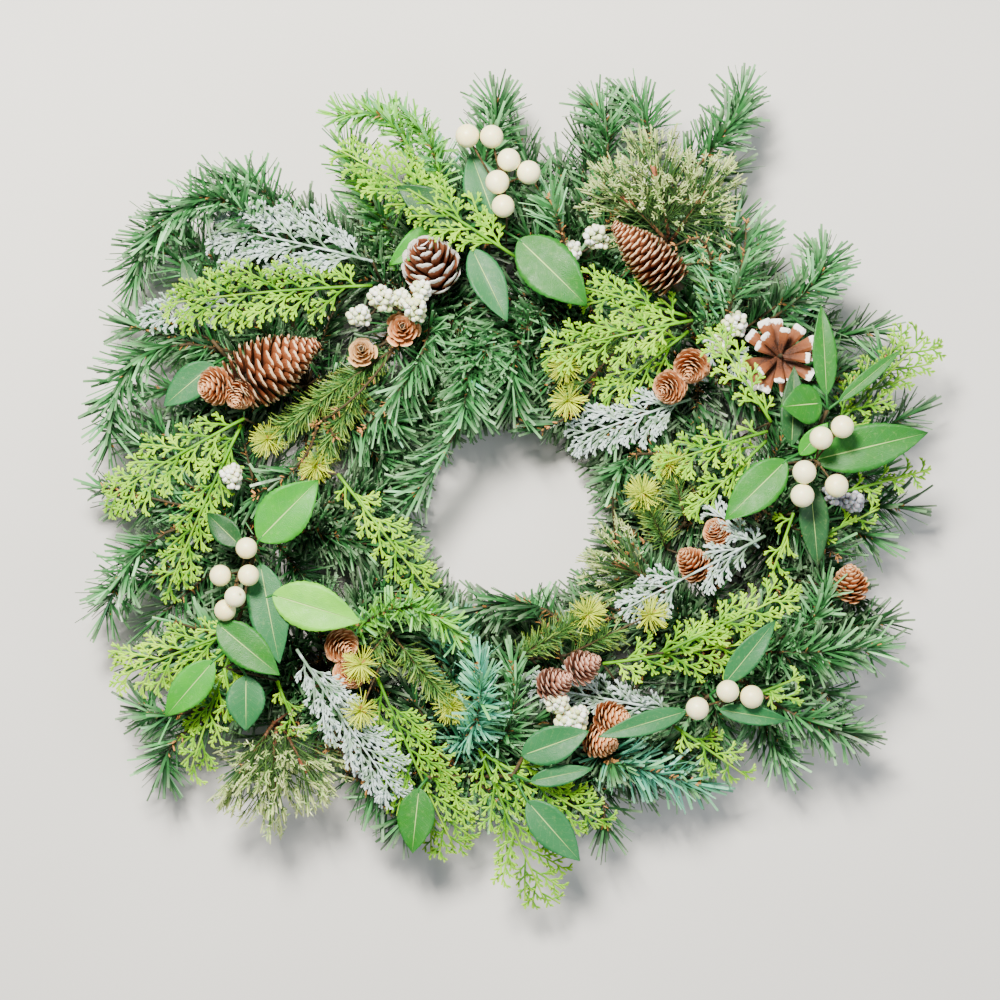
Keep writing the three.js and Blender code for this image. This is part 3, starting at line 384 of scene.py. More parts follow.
class Recipe:
    """The node tree of one finish, built step by step."""

    NOISE = (0.3, 0.7)  # between which cloudy noise mostly lies

    def __init__(self, name: str, **settings: float) -> None:
        """Starts a finish.

        Args:
            name: Its name.
            settings: Plain values of the surface, by the words of its sockets with _ for a space.
        """
        self.result = bpy.data.materials.new(name)
        self.result.use_nodes = True
        self.tree = self.result.node_tree
        self.surface = self.tree.nodes["Principled BSDF"]
        for words, value in settings.items():
            self.surface.inputs[words.replace("_", " ")].default_value = value
        brush = self.add("ShaderNodeAttribute", attribute_name="paint")
        parts = self.add("ShaderNodeSeparateXYZ")
        self.tree.links.new(brush.outputs["Vector"], parts.inputs[0])
        self.along, self.across, self.tint = parts.outputs
        self.place = self.add("ShaderNodeTexCoord").outputs["Object"]

    def add(self, kind: str, **settings: object) -> bpy.types.Node:
        """Adds a node.

        Args:
            kind: The kind of node.
            settings: Its own settings.

        Returns:
            The node.
        """
        node = self.tree.nodes.new(kind)
        for words, value in settings.items():
            setattr(node, words, value)
        return node

    def feed(self, socket: Socket, value: object) -> None:
        """Links a socket to a value, or sets it.

        Args:
            socket: The socket.
            value: Another socket, a number, or the code of a colour.
        """
        if isinstance(value, bpy.types.NodeSocket):
            self.tree.links.new(value, socket)
        else:
            socket.default_value = tone(value) if isinstance(value, str) else value

    def maths(self, operation: str, *values: object) -> Socket:
        """Works out a number.

        Args:
            operation: The sum to do.
            values: Its numbers or sockets.

        Returns:
            The socket that holds the answer.
        """
        node = self.add("ShaderNodeMath", operation=operation)
        for socket, value in zip(node.inputs, values):
            self.feed(socket, value)
        return node.outputs[0]

    def ramp(self, factor: object, stops: Sequence[tuple[float, str]]) -> Socket:
        """Turns a number into a colour.

        Args:
            factor: The number.
            stops: Numbers and the colours that they stand for.

        Returns:
            The socket that holds the colour.
        """
        node = self.add("ShaderNodeValToRGB")
        ramp = node.color_ramp
        for position, code in stops[:-1]:
            (ramp.elements[0] if position == stops[0][0] else ramp.elements.new(position)).color = tone(code)
        ramp.elements[0].position = stops[0][0]
        ramp.elements[-1].position = stops[-1][0]
        ramp.elements[-1].color = tone(stops[-1][1])
        self.feed(node.inputs[0], factor)
        return node.outputs[0]

    def tones(self, factor: object, codes: Sequence[str]) -> Socket:
        """Turns a number from 0 to 1 into a colour on a ramp of tones that stand evenly along it."""
        return self.ramp(factor, [(i / (len(codes) - 1), code) for i, code in enumerate(codes)])

    def range(
        self, value: object, low: float, high: float, to_low: float = 0.0, to_high: float = 1.0
    ) -> Socket:
        """Stretches one range of numbers over another, and cuts off what is outside.

        Args:
            value: The number.
            low: The lower end of its range.
            high: The upper end.
            to_low: What the lower end becomes.
            to_high: What the upper end becomes.

        Returns:
            The socket that holds the new number.
        """
        node = self.add("ShaderNodeMapRange")
        for socket, number in zip(node.inputs, (value, low, high, to_low, to_high)):
            self.feed(socket, number)
        return node.outputs[0]

    def speckle(self, size: float, detail: float = 3.0) -> Socket:
        """Cloudy noise through the piece.

        Args:
            size: About how far it is from one cloud to the next, in millimetres.
            detail: How finely it is broken up.

        Returns:
            The socket that holds it, about 0.3 to 0.7.
        """
        node = self.add("ShaderNodeTexNoise")
        self.feed(node.inputs["Vector"], self.place)
        self.feed(node.inputs["Scale"], 1 / (size * MM))
        self.feed(node.inputs["Detail"], detail)
        return node.outputs["Fac"]

    def clouds(self, size: float, low: float, high: float, detail: float = 3.0) -> Socket:
        """Cloudy noise through the piece, stretched between two numbers."""
        return self.range(self.speckle(size, detail), *self.NOISE, low, high)

    def blend(self, factor: object, first: object, second: object) -> Socket:
        """Mixes two colours.

        Args:
            factor: How much of the second.
            first: The first colour.
            second: The second.

        Returns:
            The socket that holds the mix.
        """
        node = self.add("ShaderNodeMix", data_type="RGBA")
        self.feed(node.inputs["Factor"], factor)
        self.feed(node.inputs[6], first)
        self.feed(node.inputs[7], second)
        return node.outputs[2]

    def finish(
        self, colour: object, roughness: object, height: object = None, depth: float = 0.0
    ) -> bpy.types.Material:
        """Ends the finish.

        Args:
            colour: Its colour.
            roughness: Its roughness.
            height: The relief over its surface, if it has any.
            depth: How deep that relief is, in millimetres.

        Returns:
            The material.
        """
        self.feed(self.surface.inputs["Base Color"], colour)
        self.feed(self.surface.inputs["Roughness"], roughness)
        if height is not None:
            bump = self.add("ShaderNodeBump")
            self.feed(bump.inputs["Height"], height)
            bump.inputs["Distance"].default_value = depth * MM
            self.feed(self.surface.inputs["Normal"], bump.outputs[0])
        return self.result


@dataclass(frozen=True)
class Finish:
    """A finish that pieces share. Its material is made the first time that a piece needs it."""

    name: str

    def material(self) -> bpy.types.Material:
        """The finish's material, made once."""
        return bpy.data.materials.get(self.name) or self.mixed()

    def mixed(self) -> bpy.types.Material:
        """Mixes the material. Each kind of finish has its own way."""
        raise NotImplementedError


@dataclass(frozen=True)
class NeedleFilm(Finish):
    """Needles cut from film, paler towards the tips and darker at the stem. On the pine and spruce the pale
    tips are a painted sheen; on the tufts and their crumbs they are the flock's own colour. The dark foot is
    painted shade where the needles crowd round the stem.
    """

    tones: tuple[str, ...] = ("0f2c14", "245a2c", "43924c", "92d896", "4aae96", "70c024")
    # root: the painted shade at the foot of each needle
    root: str = "0c2210"
    # sheen: the pale tip colour, a painted highlight on the pine and spruce, the flock on the tufts
    sheen: str = "bfe0b4"
    gloss: float = 0.42
    pale_from: float = 0.55
    pale_full: float = 1.0
    pale_most: float = 0.24

    def mixed(self) -> bpy.types.Material:
        """A ramp of greens by tint, under the pale tips and a dark foot of painted shade."""
        make = Recipe(self.name, IOR=1.5, Specular_IOR_Level=0.42)
        cloud = make.range(make.speckle(34.0), 0.35, 0.65, 0.0, 0.25)
        green = make.blend(cloud, make.tones(make.tint, self.tones), self.tones[1])
        # pale tips: painted sheen on the pine and spruce, the flock on the tufts
        pale = make.range(make.along, self.pale_from, self.pale_full, 0.0, self.pale_most)
        green = make.blend(pale, green, self.sheen)
        # painted shade darkens the foot of each needle, where the needles crowd round the stem
        green = make.blend(make.range(make.along, 0.0, 0.3, 0.75, 0.0), green, self.root)
        return make.finish(green, make.clouds(3.0, self.gloss - 0.08, self.gloss + 0.14))


@dataclass(frozen=True)
class TwistedStem(Finish):
    """A twisted wire stem, dark, with orange-brown flecks of its own."""

    bark: str = "2d2a1c"
    worn: str = "4a3a20"
    fleck: str = "c98d4e"

    def mixed(self) -> bpy.types.Material:
        """Bark to fleck by tint, broken up by fine noise."""
        make = Recipe(self.name, Specular_IOR_Level=0.3)
        noisy = make.maths("ADD", make.tint, make.clouds(2.0, -0.25, 0.25))
        colour = make.ramp(noisy, [(0.0, self.bark), (0.45, self.worn), (1.0, self.fleck)])
        return make.finish(colour, make.clouds(1.0, 0.55, 0.85), make.speckle(1.2), 0.3)


@dataclass(frozen=True)
class MouldedScale(Finish):
    """A moulded frond of small overlapping scales, paler at the ends of its twigs."""

    tones: tuple[str, ...] = ("346a02", "589a04", "80c20c", "a8dc1c")
    tip: str = "b8e634"
    frost: str | None = None

    def mixed(self) -> bpy.types.Material:
        """Greens by tint with pale ends, and frost that lies on it in clouds if it has any."""
        make = Recipe(self.name, IOR=1.46, Specular_IOR_Level=0.4)
        green = make.tones(make.maths("ADD", make.tint, make.clouds(22.0, -0.3, 0.3)), self.tones)
        green = make.blend(make.range(make.along, 0.4, 1.0, 0.0, 0.6), green, self.tip)
        rough: object = make.clouds(2.0, 0.45, 0.65)
        if self.frost:
            crust = make.maths("ADD", make.speckle(7.0, 6.0), make.range(make.along, 0.0, 1.0, -0.08, 0.12))
            green = make.blend(make.range(crust, 0.42, 0.58, 0.1, 0.85), green, self.frost)
            rough = 0.85
        return make.finish(green, rough, make.speckle(0.9), 0.35)


@dataclass(frozen=True)
class ClothLeaf(Finish):
    """A printed cloth leaf: a pale midrib, fine side veins, fine pale specks painted as highlights, and a
    face that goes by its tint.
    """

    tones: tuple[str, ...] = ("153a0c", "24653a", "206814", "349018", "6cc028")
    vein: str = "a8cc74"
    side_veins: float = 9.0
    slant: float = 1.9

    def mixed(self) -> bpy.types.Material:
        """Veins worked out from how far along and across the leaf a point is."""
        make = Recipe(self.name, IOR=1.45, Specular_IOR_Level=0.32)
        green = make.blend(make.clouds(9.0, 0.0, 0.3, 5.0), make.tones(make.tint, self.tones), self.tones[1])
        # fine pale specks in the vein colour: painted glints of light on the cloth
        green = make.blend(make.range(make.speckle(2.4, 4.0), 0.56, 0.72, 0.0, 0.1), green, self.vein)
        out = make.maths("ABSOLUTE", make.maths("MULTIPLY_ADD", make.across, 2.0, -1.0))
        taper = make.range(make.along, 0.0, 1.0, 0.05, 0.02)
        midrib = make.range(make.maths("DIVIDE", out, taper), 0.45, 1.0, 1.0, 0.0)
        steps = make.maths("MULTIPLY", make.along, self.side_veins)
        rows = make.maths("SUBTRACT", steps, make.maths("MULTIPLY", out, self.slant))
        near = make.maths("ABSOLUTE", make.maths("SUBTRACT", make.maths("FRACT", rows), 0.5))
        faded = make.range(out, 0.7, 0.97, 1.0, 0.0)
        side = make.maths("MULTIPLY", make.range(near, 0.0, 0.05, 0.07, 0.0), faded)
        veins = make.maths("MAXIMUM", midrib, side)
        colour = make.blend(make.maths("MULTIPLY", veins, 0.85), green, self.vein)
        weave = make.maths("MULTIPLY", make.speckle(0.7, 2.0), 0.5)
        relief = make.maths("ADD", weave, make.maths("MULTIPLY", veins, -0.9))
        return make.finish(colour, make.clouds(5.0, 0.36, 0.52), relief, 0.4)


@dataclass(frozen=True)
class BerrySkin(Finish):
    """A berry's skin: pale, mottled, with a dark eye at one pole."""

    pale: str = "fff9c8"
    warm: str = "fcecaa"
    eye: str = "8a7a4a"
    roughness: float = 0.42
    mottle: float = 5.0
    coat: float = 0.08

    def mixed(self) -> bpy.types.Material:
        """Two pale tones in clouds and by tint, with light that passes a little way in."""
        make = Recipe(
            self.name, Specular_IOR_Level=0.5, Coat_Weight=self.coat, Coat_Roughness=0.18,
            Subsurface_Weight=0.25, Subsurface_Scale=0.003,
        )
        cloud = make.maths("ADD", make.speckle(self.mottle, 4.0), make.range(make.tint, 0.0, 1.0, -0.3, 0.3))
        colour = make.blend(make.range(cloud, 0.3, 0.8), self.pale, self.warm)
        colour = make.blend(make.range(make.along, 0.001, 0.012, 1.0, 0.0), colour, self.eye)
        rough = make.clouds(2.5, self.roughness - 0.06, self.roughness + 0.12)
        return make.finish(colour, rough, make.speckle(1.4), 0.08)


@dataclass(frozen=True)
class DryScale(Finish):
    """The woody scale of a cone: dark at its foot, lighter to its edge, with a pale or painted lip."""

    foot: str
    face: str
    edge: str
    lip: str
    lip_from: float

    def mixed(self) -> bpy.types.Material:
        """Browns along the scale with streaks across it, and a broken line where the lip begins."""
        make = Recipe(self.name, Specular_IOR_Level=0.35)
        ragged = make.maths("ADD", make.along, make.clouds(2.2, -0.05, 0.05))
        stops = [(0.0, self.foot), (0.35, self.foot), (0.62, self.face), (0.86, self.edge), (1.0, self.edge)]
        streak = make.range(make.speckle(1.1, 6.0), 0.35, 0.65, 0.0, 0.55)
        colour = make.blend(streak, make.ramp(ragged, stops), self.face)
        colour = make.blend(make.range(ragged, self.lip_from - 0.02, self.lip_from + 0.02), colour, self.lip)
        return make.finish(colour, make.clouds(2.0, 0.5, 0.75), make.speckle(0.8, 6.0), 0.3)


@dataclass(frozen=True)
class Enamel(Finish):
    """Dull green enamel on steel wire, with small chips of dark steel."""

    shade: str = "1a2b20"
    green: str = "24382a"
    chip: str = "5c5b55"

    def mixed(self) -> bpy.types.Material:
        """Enamel with chips where fine noise is high."""
        make = Recipe(self.name, Specular_IOR_Level=0.5, Coat_Weight=0.3, Coat_Roughness=0.2)
        chips = make.range(make.speckle(2.5, 5.0), 0.62, 0.68, 0.0, 0.8)
        green = make.ramp(make.speckle(12.0), [(0.3, self.shade), (0.7, self.green)])
        colour = make.blend(chips, green, self.chip)
        return make.finish(colour, make.clouds(3.0, 0.3, 0.5), make.speckle(1.5), 0.1)


PINE_FILM = NeedleFilm("pine_film")
STEM = TwistedStem("twisted_stem")
CEDAR_SCALE = MouldedScale("cedar_scale")
FROSTED_SCALE = MouldedScale("frosted_scale", ("4d7450", "6f9470", "93b094"), "bdd2c2", "c9dade")
LEAF_CLOTH = ClothLeaf("leaf_cloth")
CREAM_SKIN = BerrySkin("cream_skin")
PALE_SKIN = BerrySkin("pale_skin", "fdfdf8", "d3de98", "9a9868", 0.6, 5.0, 0.0)
GREY_SKIN = BerrySkin("grey_skin", "c2c4cd", "82838f", "463d3a", 0.65, 3.0, 0.0)
BROWN_CONE = DryScale("brown_cone", "2b130a", "6c371b", "925330", "e6c29a", 0.92)
PAINTED_CONE = DryScale("painted_cone", "35180e", "7c452b", "a66c4a", "fdfaf4", 0.86)
OPEN_CONE = DryScale("open_cone", "2a1409", "6e3b1e", "93572f", "fbf9f3", 0.86)
TAN_CONE = DryScale("tan_cone", "6b4022", "bd8850", "dcae78", "ecc898", 0.92)
ORANGE_CONE = DryScale("orange_cone", "4c2512", "bb703c", "dc9c66", "f0c294", 0.9)
MAUVE_CONE = DryScale("mauve_cone", "432418", "96604b", "c08d77", "e2b8a2", 0.9)
SPRUCE_FILM = NeedleFilm(
    "spruce_film", ("2a5220", "457a32", "6aa04c", "b4c83a", "d8ea2c", "f0fa3c"), "3c4a1e", "e6f04e", 0.5
)
TUFT_FILM = NeedleFilm(
    "tuft_film", ("1e3a14", "2a4e1a", "3c6424", "50762c", "66863a", "7f984a"), "1a2c10", "c0cc84", gloss=0.7,
    pale_from=0.76, pale_full=0.86, pale_most=0.75,
)
FLOCK = NeedleFilm(
    "flock", ("5c8434", "749c44", "90b058", "acc474", "c8d696", "e6ecc0"), "789848", "d2dea0", gloss=0.85
)
BUD = TwistedStem("tuft_bud", bark="5a2818", fleck="b8664a")
ENAMEL = Enamel("green_enamel")


# ---- What covers what ----


class Canopy:
    """How low the picks hang over each spot, so that no needle stands up through or over them."""

    REACH = 340.0
    CELL = 4.0

    def __init__(self) -> None:
        """Starts with an open sky."""
        self.cells = int(2 * self.REACH / self.CELL)
        self.lowest = np.full((self.cells, self.cells), np.inf)

    def spots(self, points: Array) -> tuple[Array, Array]:
        """Which cells points lie over."""
        cells = np.clip(((points[:, :2] + self.REACH) / self.CELL).astype(int), 1, self.cells - 2)
        return cells[:, 0], cells[:, 1]

    def cover(self, points: Array) -> None:
        """Marks the spots under a pick, and those next to them.

        Args:
            points: Points all over the pick.
        """
        across, up = self.spots(points)
        for i in (-1, 0, 1):
            for j in (-1, 0, 1):
                np.minimum.at(self.lowest, (across + i, up + j), points[:, 2])

    def clear(self, points: Array, gap: float) -> Array:
        """Whether points are under every pick over them."""
        return points[:, 2] < self.lowest[self.spots(points)] - gap


# ---- Stems and needles ----


@dataclass(frozen=True)
class Arch:
    """The arched line of a branch, through its middle raised by its rise, or through a given point."""

    start: Place
    end: Place
    rise: float
    through: Place | None = None

    def at(self, share: Array) -> Array:
        """Points along it.

        Args:
            share: How far along each is, from 0 to 1.

        Returns:
            Rows of three.
        """
        a, b = np.array(self.start, float), np.array(self.end, float)
        middle = (a + b) / 2 + self.rise * UP if self.through is None else np.array(self.through, float)
        t = np.asarray(share, float)[:, None]
        return a * (1 - t) * (1 - 2 * t) + middle * 4 * t * (1 - t) + b * t * (2 * t - 1)

    def length(self) -> float:
        """Its length along the line."""
        return float(np.linalg.norm(np.diff(self.at(np.linspace(0, 1, 17)), axis=0), axis=1).sum())

    def frames(self, share: Array) -> tuple[Array, Array, Array, Array]:
        """Points along it with the line's direction and two directions square to that.

        Args:
            share: How far along each is.

        Returns:
            Four arrays of rows of three.
        """
        step = 0.01
        along = unit(self.at(share + step) - self.at(share - step))
        side = unit(np.cross(UP + 0.01, along))
        return self.at(share), along, side, np.cross(along, side)


@dataclass(frozen=True)
class NeedleKind:
    """A kind of needle and how it stands on its stem, in millimetres and degrees."""

    length: float
    shape: RodShape
    lean: float
    pitch: float
    bare: float
    stem: float
    curl: float = 2.0
    spread: float = 9.0
    fleck: float = 0.13
    crumbs: int = 0


def film_shape(width: float, thick: float, end: float) -> RodShape:
    """A needle cut from film, folded along its middle."""
    half, deep = width / 2, thick / 2
    return RodShape(((0.0, half * 0.7, deep), (0.5, half, deep), (1.0, half * end, deep * 0.8)), TRIANGLE)


PINE = NeedleKind(27.0, film_shape(2.1, 0.9, 0.88), 52.0, 0.64, 14.0, 1.25, 2.6, 13.0)
SPRUCE = NeedleKind(15.0, film_shape(0.8, 0.55, 0.5), 54.0, 0.2, 4.0, 0.9, 1.6, 14.0)
STAR = NeedleKind(15.0, film_shape(0.75, 0.5, 0.5), 82.0, 0.065, 0.0, 1.0, 1.2, 11.0)
TUFT_SHAPE = RodShape(
    ((0.0, 0.36, 0.3), (0.7, 0.4, 0.3), (0.8, 0.62, 0.5), (0.92, 0.75, 0.6), (1.0, 0.4, 0.3)), DIAMOND
)
TUFT = NeedleKind(42.0, TUFT_SHAPE, 56.0, 0.34, 4.0, 1.5, 3.0, 20.0, 0.16, 6)
FLECK = RodShape(((0.0, 0.45, 0.3), (1.0, 0.3, 0.2)), TRIANGLE)


@dataclass
class Needles:
    """Stands needles all round a branch."""

    kind: NeedleKind
    canopy: Canopy
    random: np.random.Generator
    gap: float = 2.0

    LIGHT_TINT: ClassVar[float] = 0.7  # needles of a lighter tint than this vary less
    EVENER: ClassVar[float] = 0.35

    def dress(self, draft: Draft, branch: Arch, tint: float, first: float = 0.0) -> None:
        """Draws a branch's needles and leaves out those that a pick or the hole has no room for.

        Args:
            draft: The piece to draw in.
            branch: The branch.
            tint: The tint of its needles, which each varies a little.
            first: How far along the branch they begin, if later than usual.
        """
        kind = self.kind
        length = branch.length()
        start = max(kind.bare, first)
        count = int((length - start) / kind.pitch)
        if count < 2:
            return
        along_stem = start + (length - start) * (np.arange(count) + self.random.random(count)) / count
        share = along_stem / length
        base, along, side, rise = branch.frames(share)
        turn = GOLDEN * np.arange(count) + self.random.normal(0, 0.25, count)
        to_tip = np.clip((length - along_stem) / (0.5 * kind.length), 0, 1)
        lean = np.radians(kind.lean * (0.35 + 0.65 * to_tip) + self.random.normal(0, kind.spread, count))
        out = around(turn, side, rise)
        way = around(lean, along, out)
        size = kind.length * np.clip(self.random.normal(0.97, 0.07, count), 0.7, 1.1)
        bend = np.clip(self.random.normal(0, kind.curl, count), -MOST_CURL, MOST_CURL)
        flat = np.cross(way, out + 0.6 * self.random.normal(size=(count, 3)))
        fits = self.room(base, way, size)
        fleck = kind.fleck * (self.EVENER if tint > self.LIGHT_TINT else 1.0)
        tints = np.clip(tint + self.random.normal(0, fleck, count), 0, 1)
        rows = (row[fits] for row in (base, way, flat, size, bend))
        draw_rods(draft, kind.shape, *rows, 1.0, tints[fits])
        if kind.crumbs:
            self.crumble(draft, (base + way * (0.93 * size)[:, None])[fits], way[fits])

    def crumble(self, draft: Draft, ends: Array, way: Array) -> None:
        """Draws the crumbs of flock that hang on the ends of needles.

        Args:
            draft: The piece to draw in.
            ends: The ends.
            way: Which way each needle runs.
        """
        at = np.repeat(ends, self.kind.crumbs, axis=0)
        way = np.repeat(way, self.kind.crumbs, axis=0)
        aim = unit(way * 0.7 + self.random.normal(0, 0.6, at.shape))
        at = at - way * (8 * self.random.random(len(at)))[:, None]
        size = 2.0 + 2.4 * self.random.random(len(at))
        tint = self.random.random(len(at))
        draw_rods(draft, FLECK, at, aim, np.cross(aim, UP) + 0.01, size, 0.4, 0.8, tint, 2)

    def room(self, base: Array, way: Array, size: Array) -> Array:
        """Whether each needle is clear of the picks, the hole and the surface below.

        Args:
            base: Where each begins.
            way: Which way it runs.
            size: Its length.

        Returns:
            A yes or no for each.
        """
        fits = np.ones(len(base), bool)
        for share in (0.3, 0.65, 1.0):
            points = base + way * (size * share)[:, None]
            fits &= self.canopy.clear(points, self.gap) & (points[:, 2] > LOWEST)
            fits &= np.hypot(points[:, 0], points[:, 1]) > HOLE_RADIUS - 2
        return fits

    def stem(self, draft: Draft, branch: Arch, finish: int, tint: float = 0.2) -> None:
        """Draws the branch's stem."""
        share = np.linspace(0, 1, 9)
        sweep(draft, branch.at(share), self.kind.stem * (1 - 0.4 * share), 6, tint, finish)

    def flecks(self, draft: Draft, branch: Arch, finish: int, count: int = 26) -> None:
        """Draws the orange-brown flecks that lie against a stem.

        Args:
            draft: The piece to draw in.
            branch: The branch.
            finish: Which of the piece's finishes they take.
            count: How many.
        """
        share = np.minimum(0.15 + 0.95 * self.random.random(count), 0.99)
        base, along, side, rise = branch.frames(share)
        out = around(self.random.random(count) * 2 * math.pi, side, rise)
        way = along * 0.8 + out
        size = 2.0 + 2.5 * self.random.random(count)
        tint = 0.75 + 0.25 * self.random.random(count)
        draw_rods(draft, FLECK, base + out, way, np.cross(way, out + along), size, 0.5, 1.8, tint, finish)


# ---- Hanging on the ring ----

PICK_WIRE = 0.8
HOOK_REACH = 4.0
HOOK_TOP = 9.0
SAG = 14.0  # how far down the wire between two stems is bent


def hook_spot(node: str) -> Array:
    """Where a pick's solid passes under the ring.

    Args:
        node: The pick's solid.

    Returns:
        The point on the middle of the ring's wire, in millimetres.
    """
    corners = np.array([v.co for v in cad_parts[node].data.vertices])
    lowest = corners[corners[:, 2] < corners[:, 2].min() + 0.4 * MM].mean(0)
    spot = (lowest - MIDDLE) / MM
    spot *= RING_RADIUS / math.hypot(spot[0], spot[1])
    return np.array([spot[0], spot[1], RING_HEIGHT])


def ring_spot(heart: Place) -> Array:
    """Where the ring passes under a small pick that has no solid, clear of the pine's collars.

    Args:
        heart: Where the wire leaves the pick.

    Returns:
        The point on the middle of the ring's wire, in millimetres.
    """
    turn = math.atan2(heart[1], heart[0])
    collar = FIRST_COLLAR + SECTOR * round((turn - FIRST_COLLAR) / SECTOR)
    if abs(turn - collar) < COLLAR_ROOM:
        turn = collar + math.copysign(COLLAR_ROOM, turn - collar)
    return np.array([RING_RADIUS * math.cos(turn), RING_RADIUS * math.sin(turn), RING_HEIGHT])


def hook(draft: Draft, node: str | None, heart: Place, finish: int) -> None:
    """Draws a pick's stem wire, down from its heart and round the ring.

    Args:
        draft: The piece to draw in.
        node: The pick's solid, which hooks the ring at the same spot, if it has one.
        heart: Where the wire leaves the pick.
        finish: Which of the piece's finishes it takes.
    """
    spot = hook_spot(node) if node else ring_spot(heart)
    out = unit(np.array([spot[0], spot[1], 0.0]))
    side = 1 if math.hypot(heart[0], heart[1]) > RING_RADIUS else -1
    turn = np.radians(np.linspace(0, 200, 9))
    bow = spot + HOOK_REACH * around(turn, side * out, -UP)
    top = bow[0] + HOOK_TOP * UP
    start = np.array(heart, float)
    down = [start, start * 0.62 + top * 0.38 + 3 * UP, start * 0.2 + top * 0.8]
    sweep(draft, np.concatenate([down, [top], bow]), PICK_WIRE, 6, 0.15, finish)


def link(draft: Draft, first: Place, second: Place, radius: float, finish: int) -> None:
    """Draws the wire that joins two stems of a pick, bent down under its foliage."""
    branch = Arch(first, second, -SAG)
    sweep(draft, branch.at(np.linspace(0, 1, 7)), radius, 6, 0.15, finish)


@dataclass
class Pick:
    """A piece on a wire of its own, hooked round the ring, that the pine keeps under.

    It is called after the solid that it stands for, and has a name of its own if there is none.
    """

    name: str
    canopy: Canopy
    random: np.random.Generator

    parts: ClassVar[str]  # what the piece adds to the solid's name
    slot: ClassVar[str]
    skins: ClassVar[Sequence[Finish]]
    wire: ClassVar[float] = 1.1  # the radius of the wires between its stems

    @property
    def node(self) -> str | None:
        """The solid that it stands for, if there is one."""
        return self.name if self.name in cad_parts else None

    @property
    def stem(self) -> int:
        """Which of its finishes its wires take, the one after its skins."""
        return len(self.skins)

    def title(self) -> str:
        """The piece's name."""
        return f"{self.name}_{self.parts}" if self.node else self.name

    def finishes(self) -> Sequence[Finish]:
        """The finishes that the piece's faces take, by number."""
        return [*self.skins, STEM]

    def hearts(self) -> Sequence[Place]:
        """Where its stems begin. The first is hooked on the ring, and the others are joined to it."""
        raise NotImplementedError

    def foliage(self, draft: Draft) -> None:
        """Draws all that needles have to keep under."""
        raise NotImplementedError

    def stalks(self, draft: Draft) -> None:
        """Draws the stalks that needles may stand over. Most picks have none."""

    def build(self) -> None:
        """Makes the pick as one piece."""
        draft = Draft()
        self.foliage(draft)
        self.canopy.cover(draft.every_point())
        first, *others = self.hearts()
        for heart in others:
            link(draft, first, heart, self.wire, self.stem)
        self.stalks(draft)
        hook(draft, self.node, first, self.stem)
        draft.piece(self.title(), self.finishes(), self.slot, self.node)


@dataclass
class WireRing:
    """The enamelled wire ring that everything hangs on."""

    wire: float = 2.6
    steps: int = 160
    sides: int = 12

    def build(self) -> None:
        """Makes the ring as one closed loop of round wire."""
        draft = Draft()
        turn = np.arange(self.steps) * 2 * math.pi / self.steps
        angle = np.arange(self.sides) * 2 * math.pi / self.sides
        out = np.stack([np.cos(turn), np.sin(turn), np.zeros(self.steps)], 1)
        across = (RING_RADIUS + self.wire * np.cos(angle))[None, :, None] * out[:, None]
        points = across + (RING_HEIGHT + self.wire * np.sin(angle))[None, :, None] * UP
        i, j = np.meshgrid(np.arange(self.steps), np.arange(self.sides), indexing="ij")
        here, there = i * self.sides, (i + 1) % self.steps * self.sides
        beside = (j + 1) % self.sides
        faces = np.stack([here + j, there + j, there + beside, here + beside], -1)
        draft.add(points, [faces.reshape(-1, 4)], np.full(3, 0.5), 0, True)
        draft.piece("ring_wire", [ENAMEL], "wire", "wire_ring")


# ---- Pine ----

COLLAR_WALL = 4.65
WINDINGS = 8
WOUND = 14.0  # how far along the ring the windings go
WINDING_RADIUS = 4.3
WINDING_WIRE = 0.95
ROOT_STEP = 3.9
BUNCHES = 10
SECTOR = 2 * math.pi / BUNCHES
FIRST_COLLAR = math.radians(2.99)
COLLAR_ROOM = math.radians(4.0)
DEEP, TEAL, BRIGHT = 0.27, 0.8, 0.97


@dataclass(frozen=True)
class PineTips:
    """Where the branches of one pine bunch end, by part of the wreath."""

    outer: Sequence[Place]
    inner: Sequence[Place]
    front: Sequence[Place]


@dataclass(frozen=True)
class Fan:
    """Further branches fanned round a bunch's collar, whose reaches and heights take turns.

    Reaches are shares of the pine's outline where they are under one, and else millimetres. A spread is
    to each side as a share of the bunch's sector, and a lean is on which side of the collar they root.
    """

    count: int
    spread: float
    reaches: tuple[float, ...]
    heights: tuple[float, ...]
    stray: float
    rise: float
    lean: float


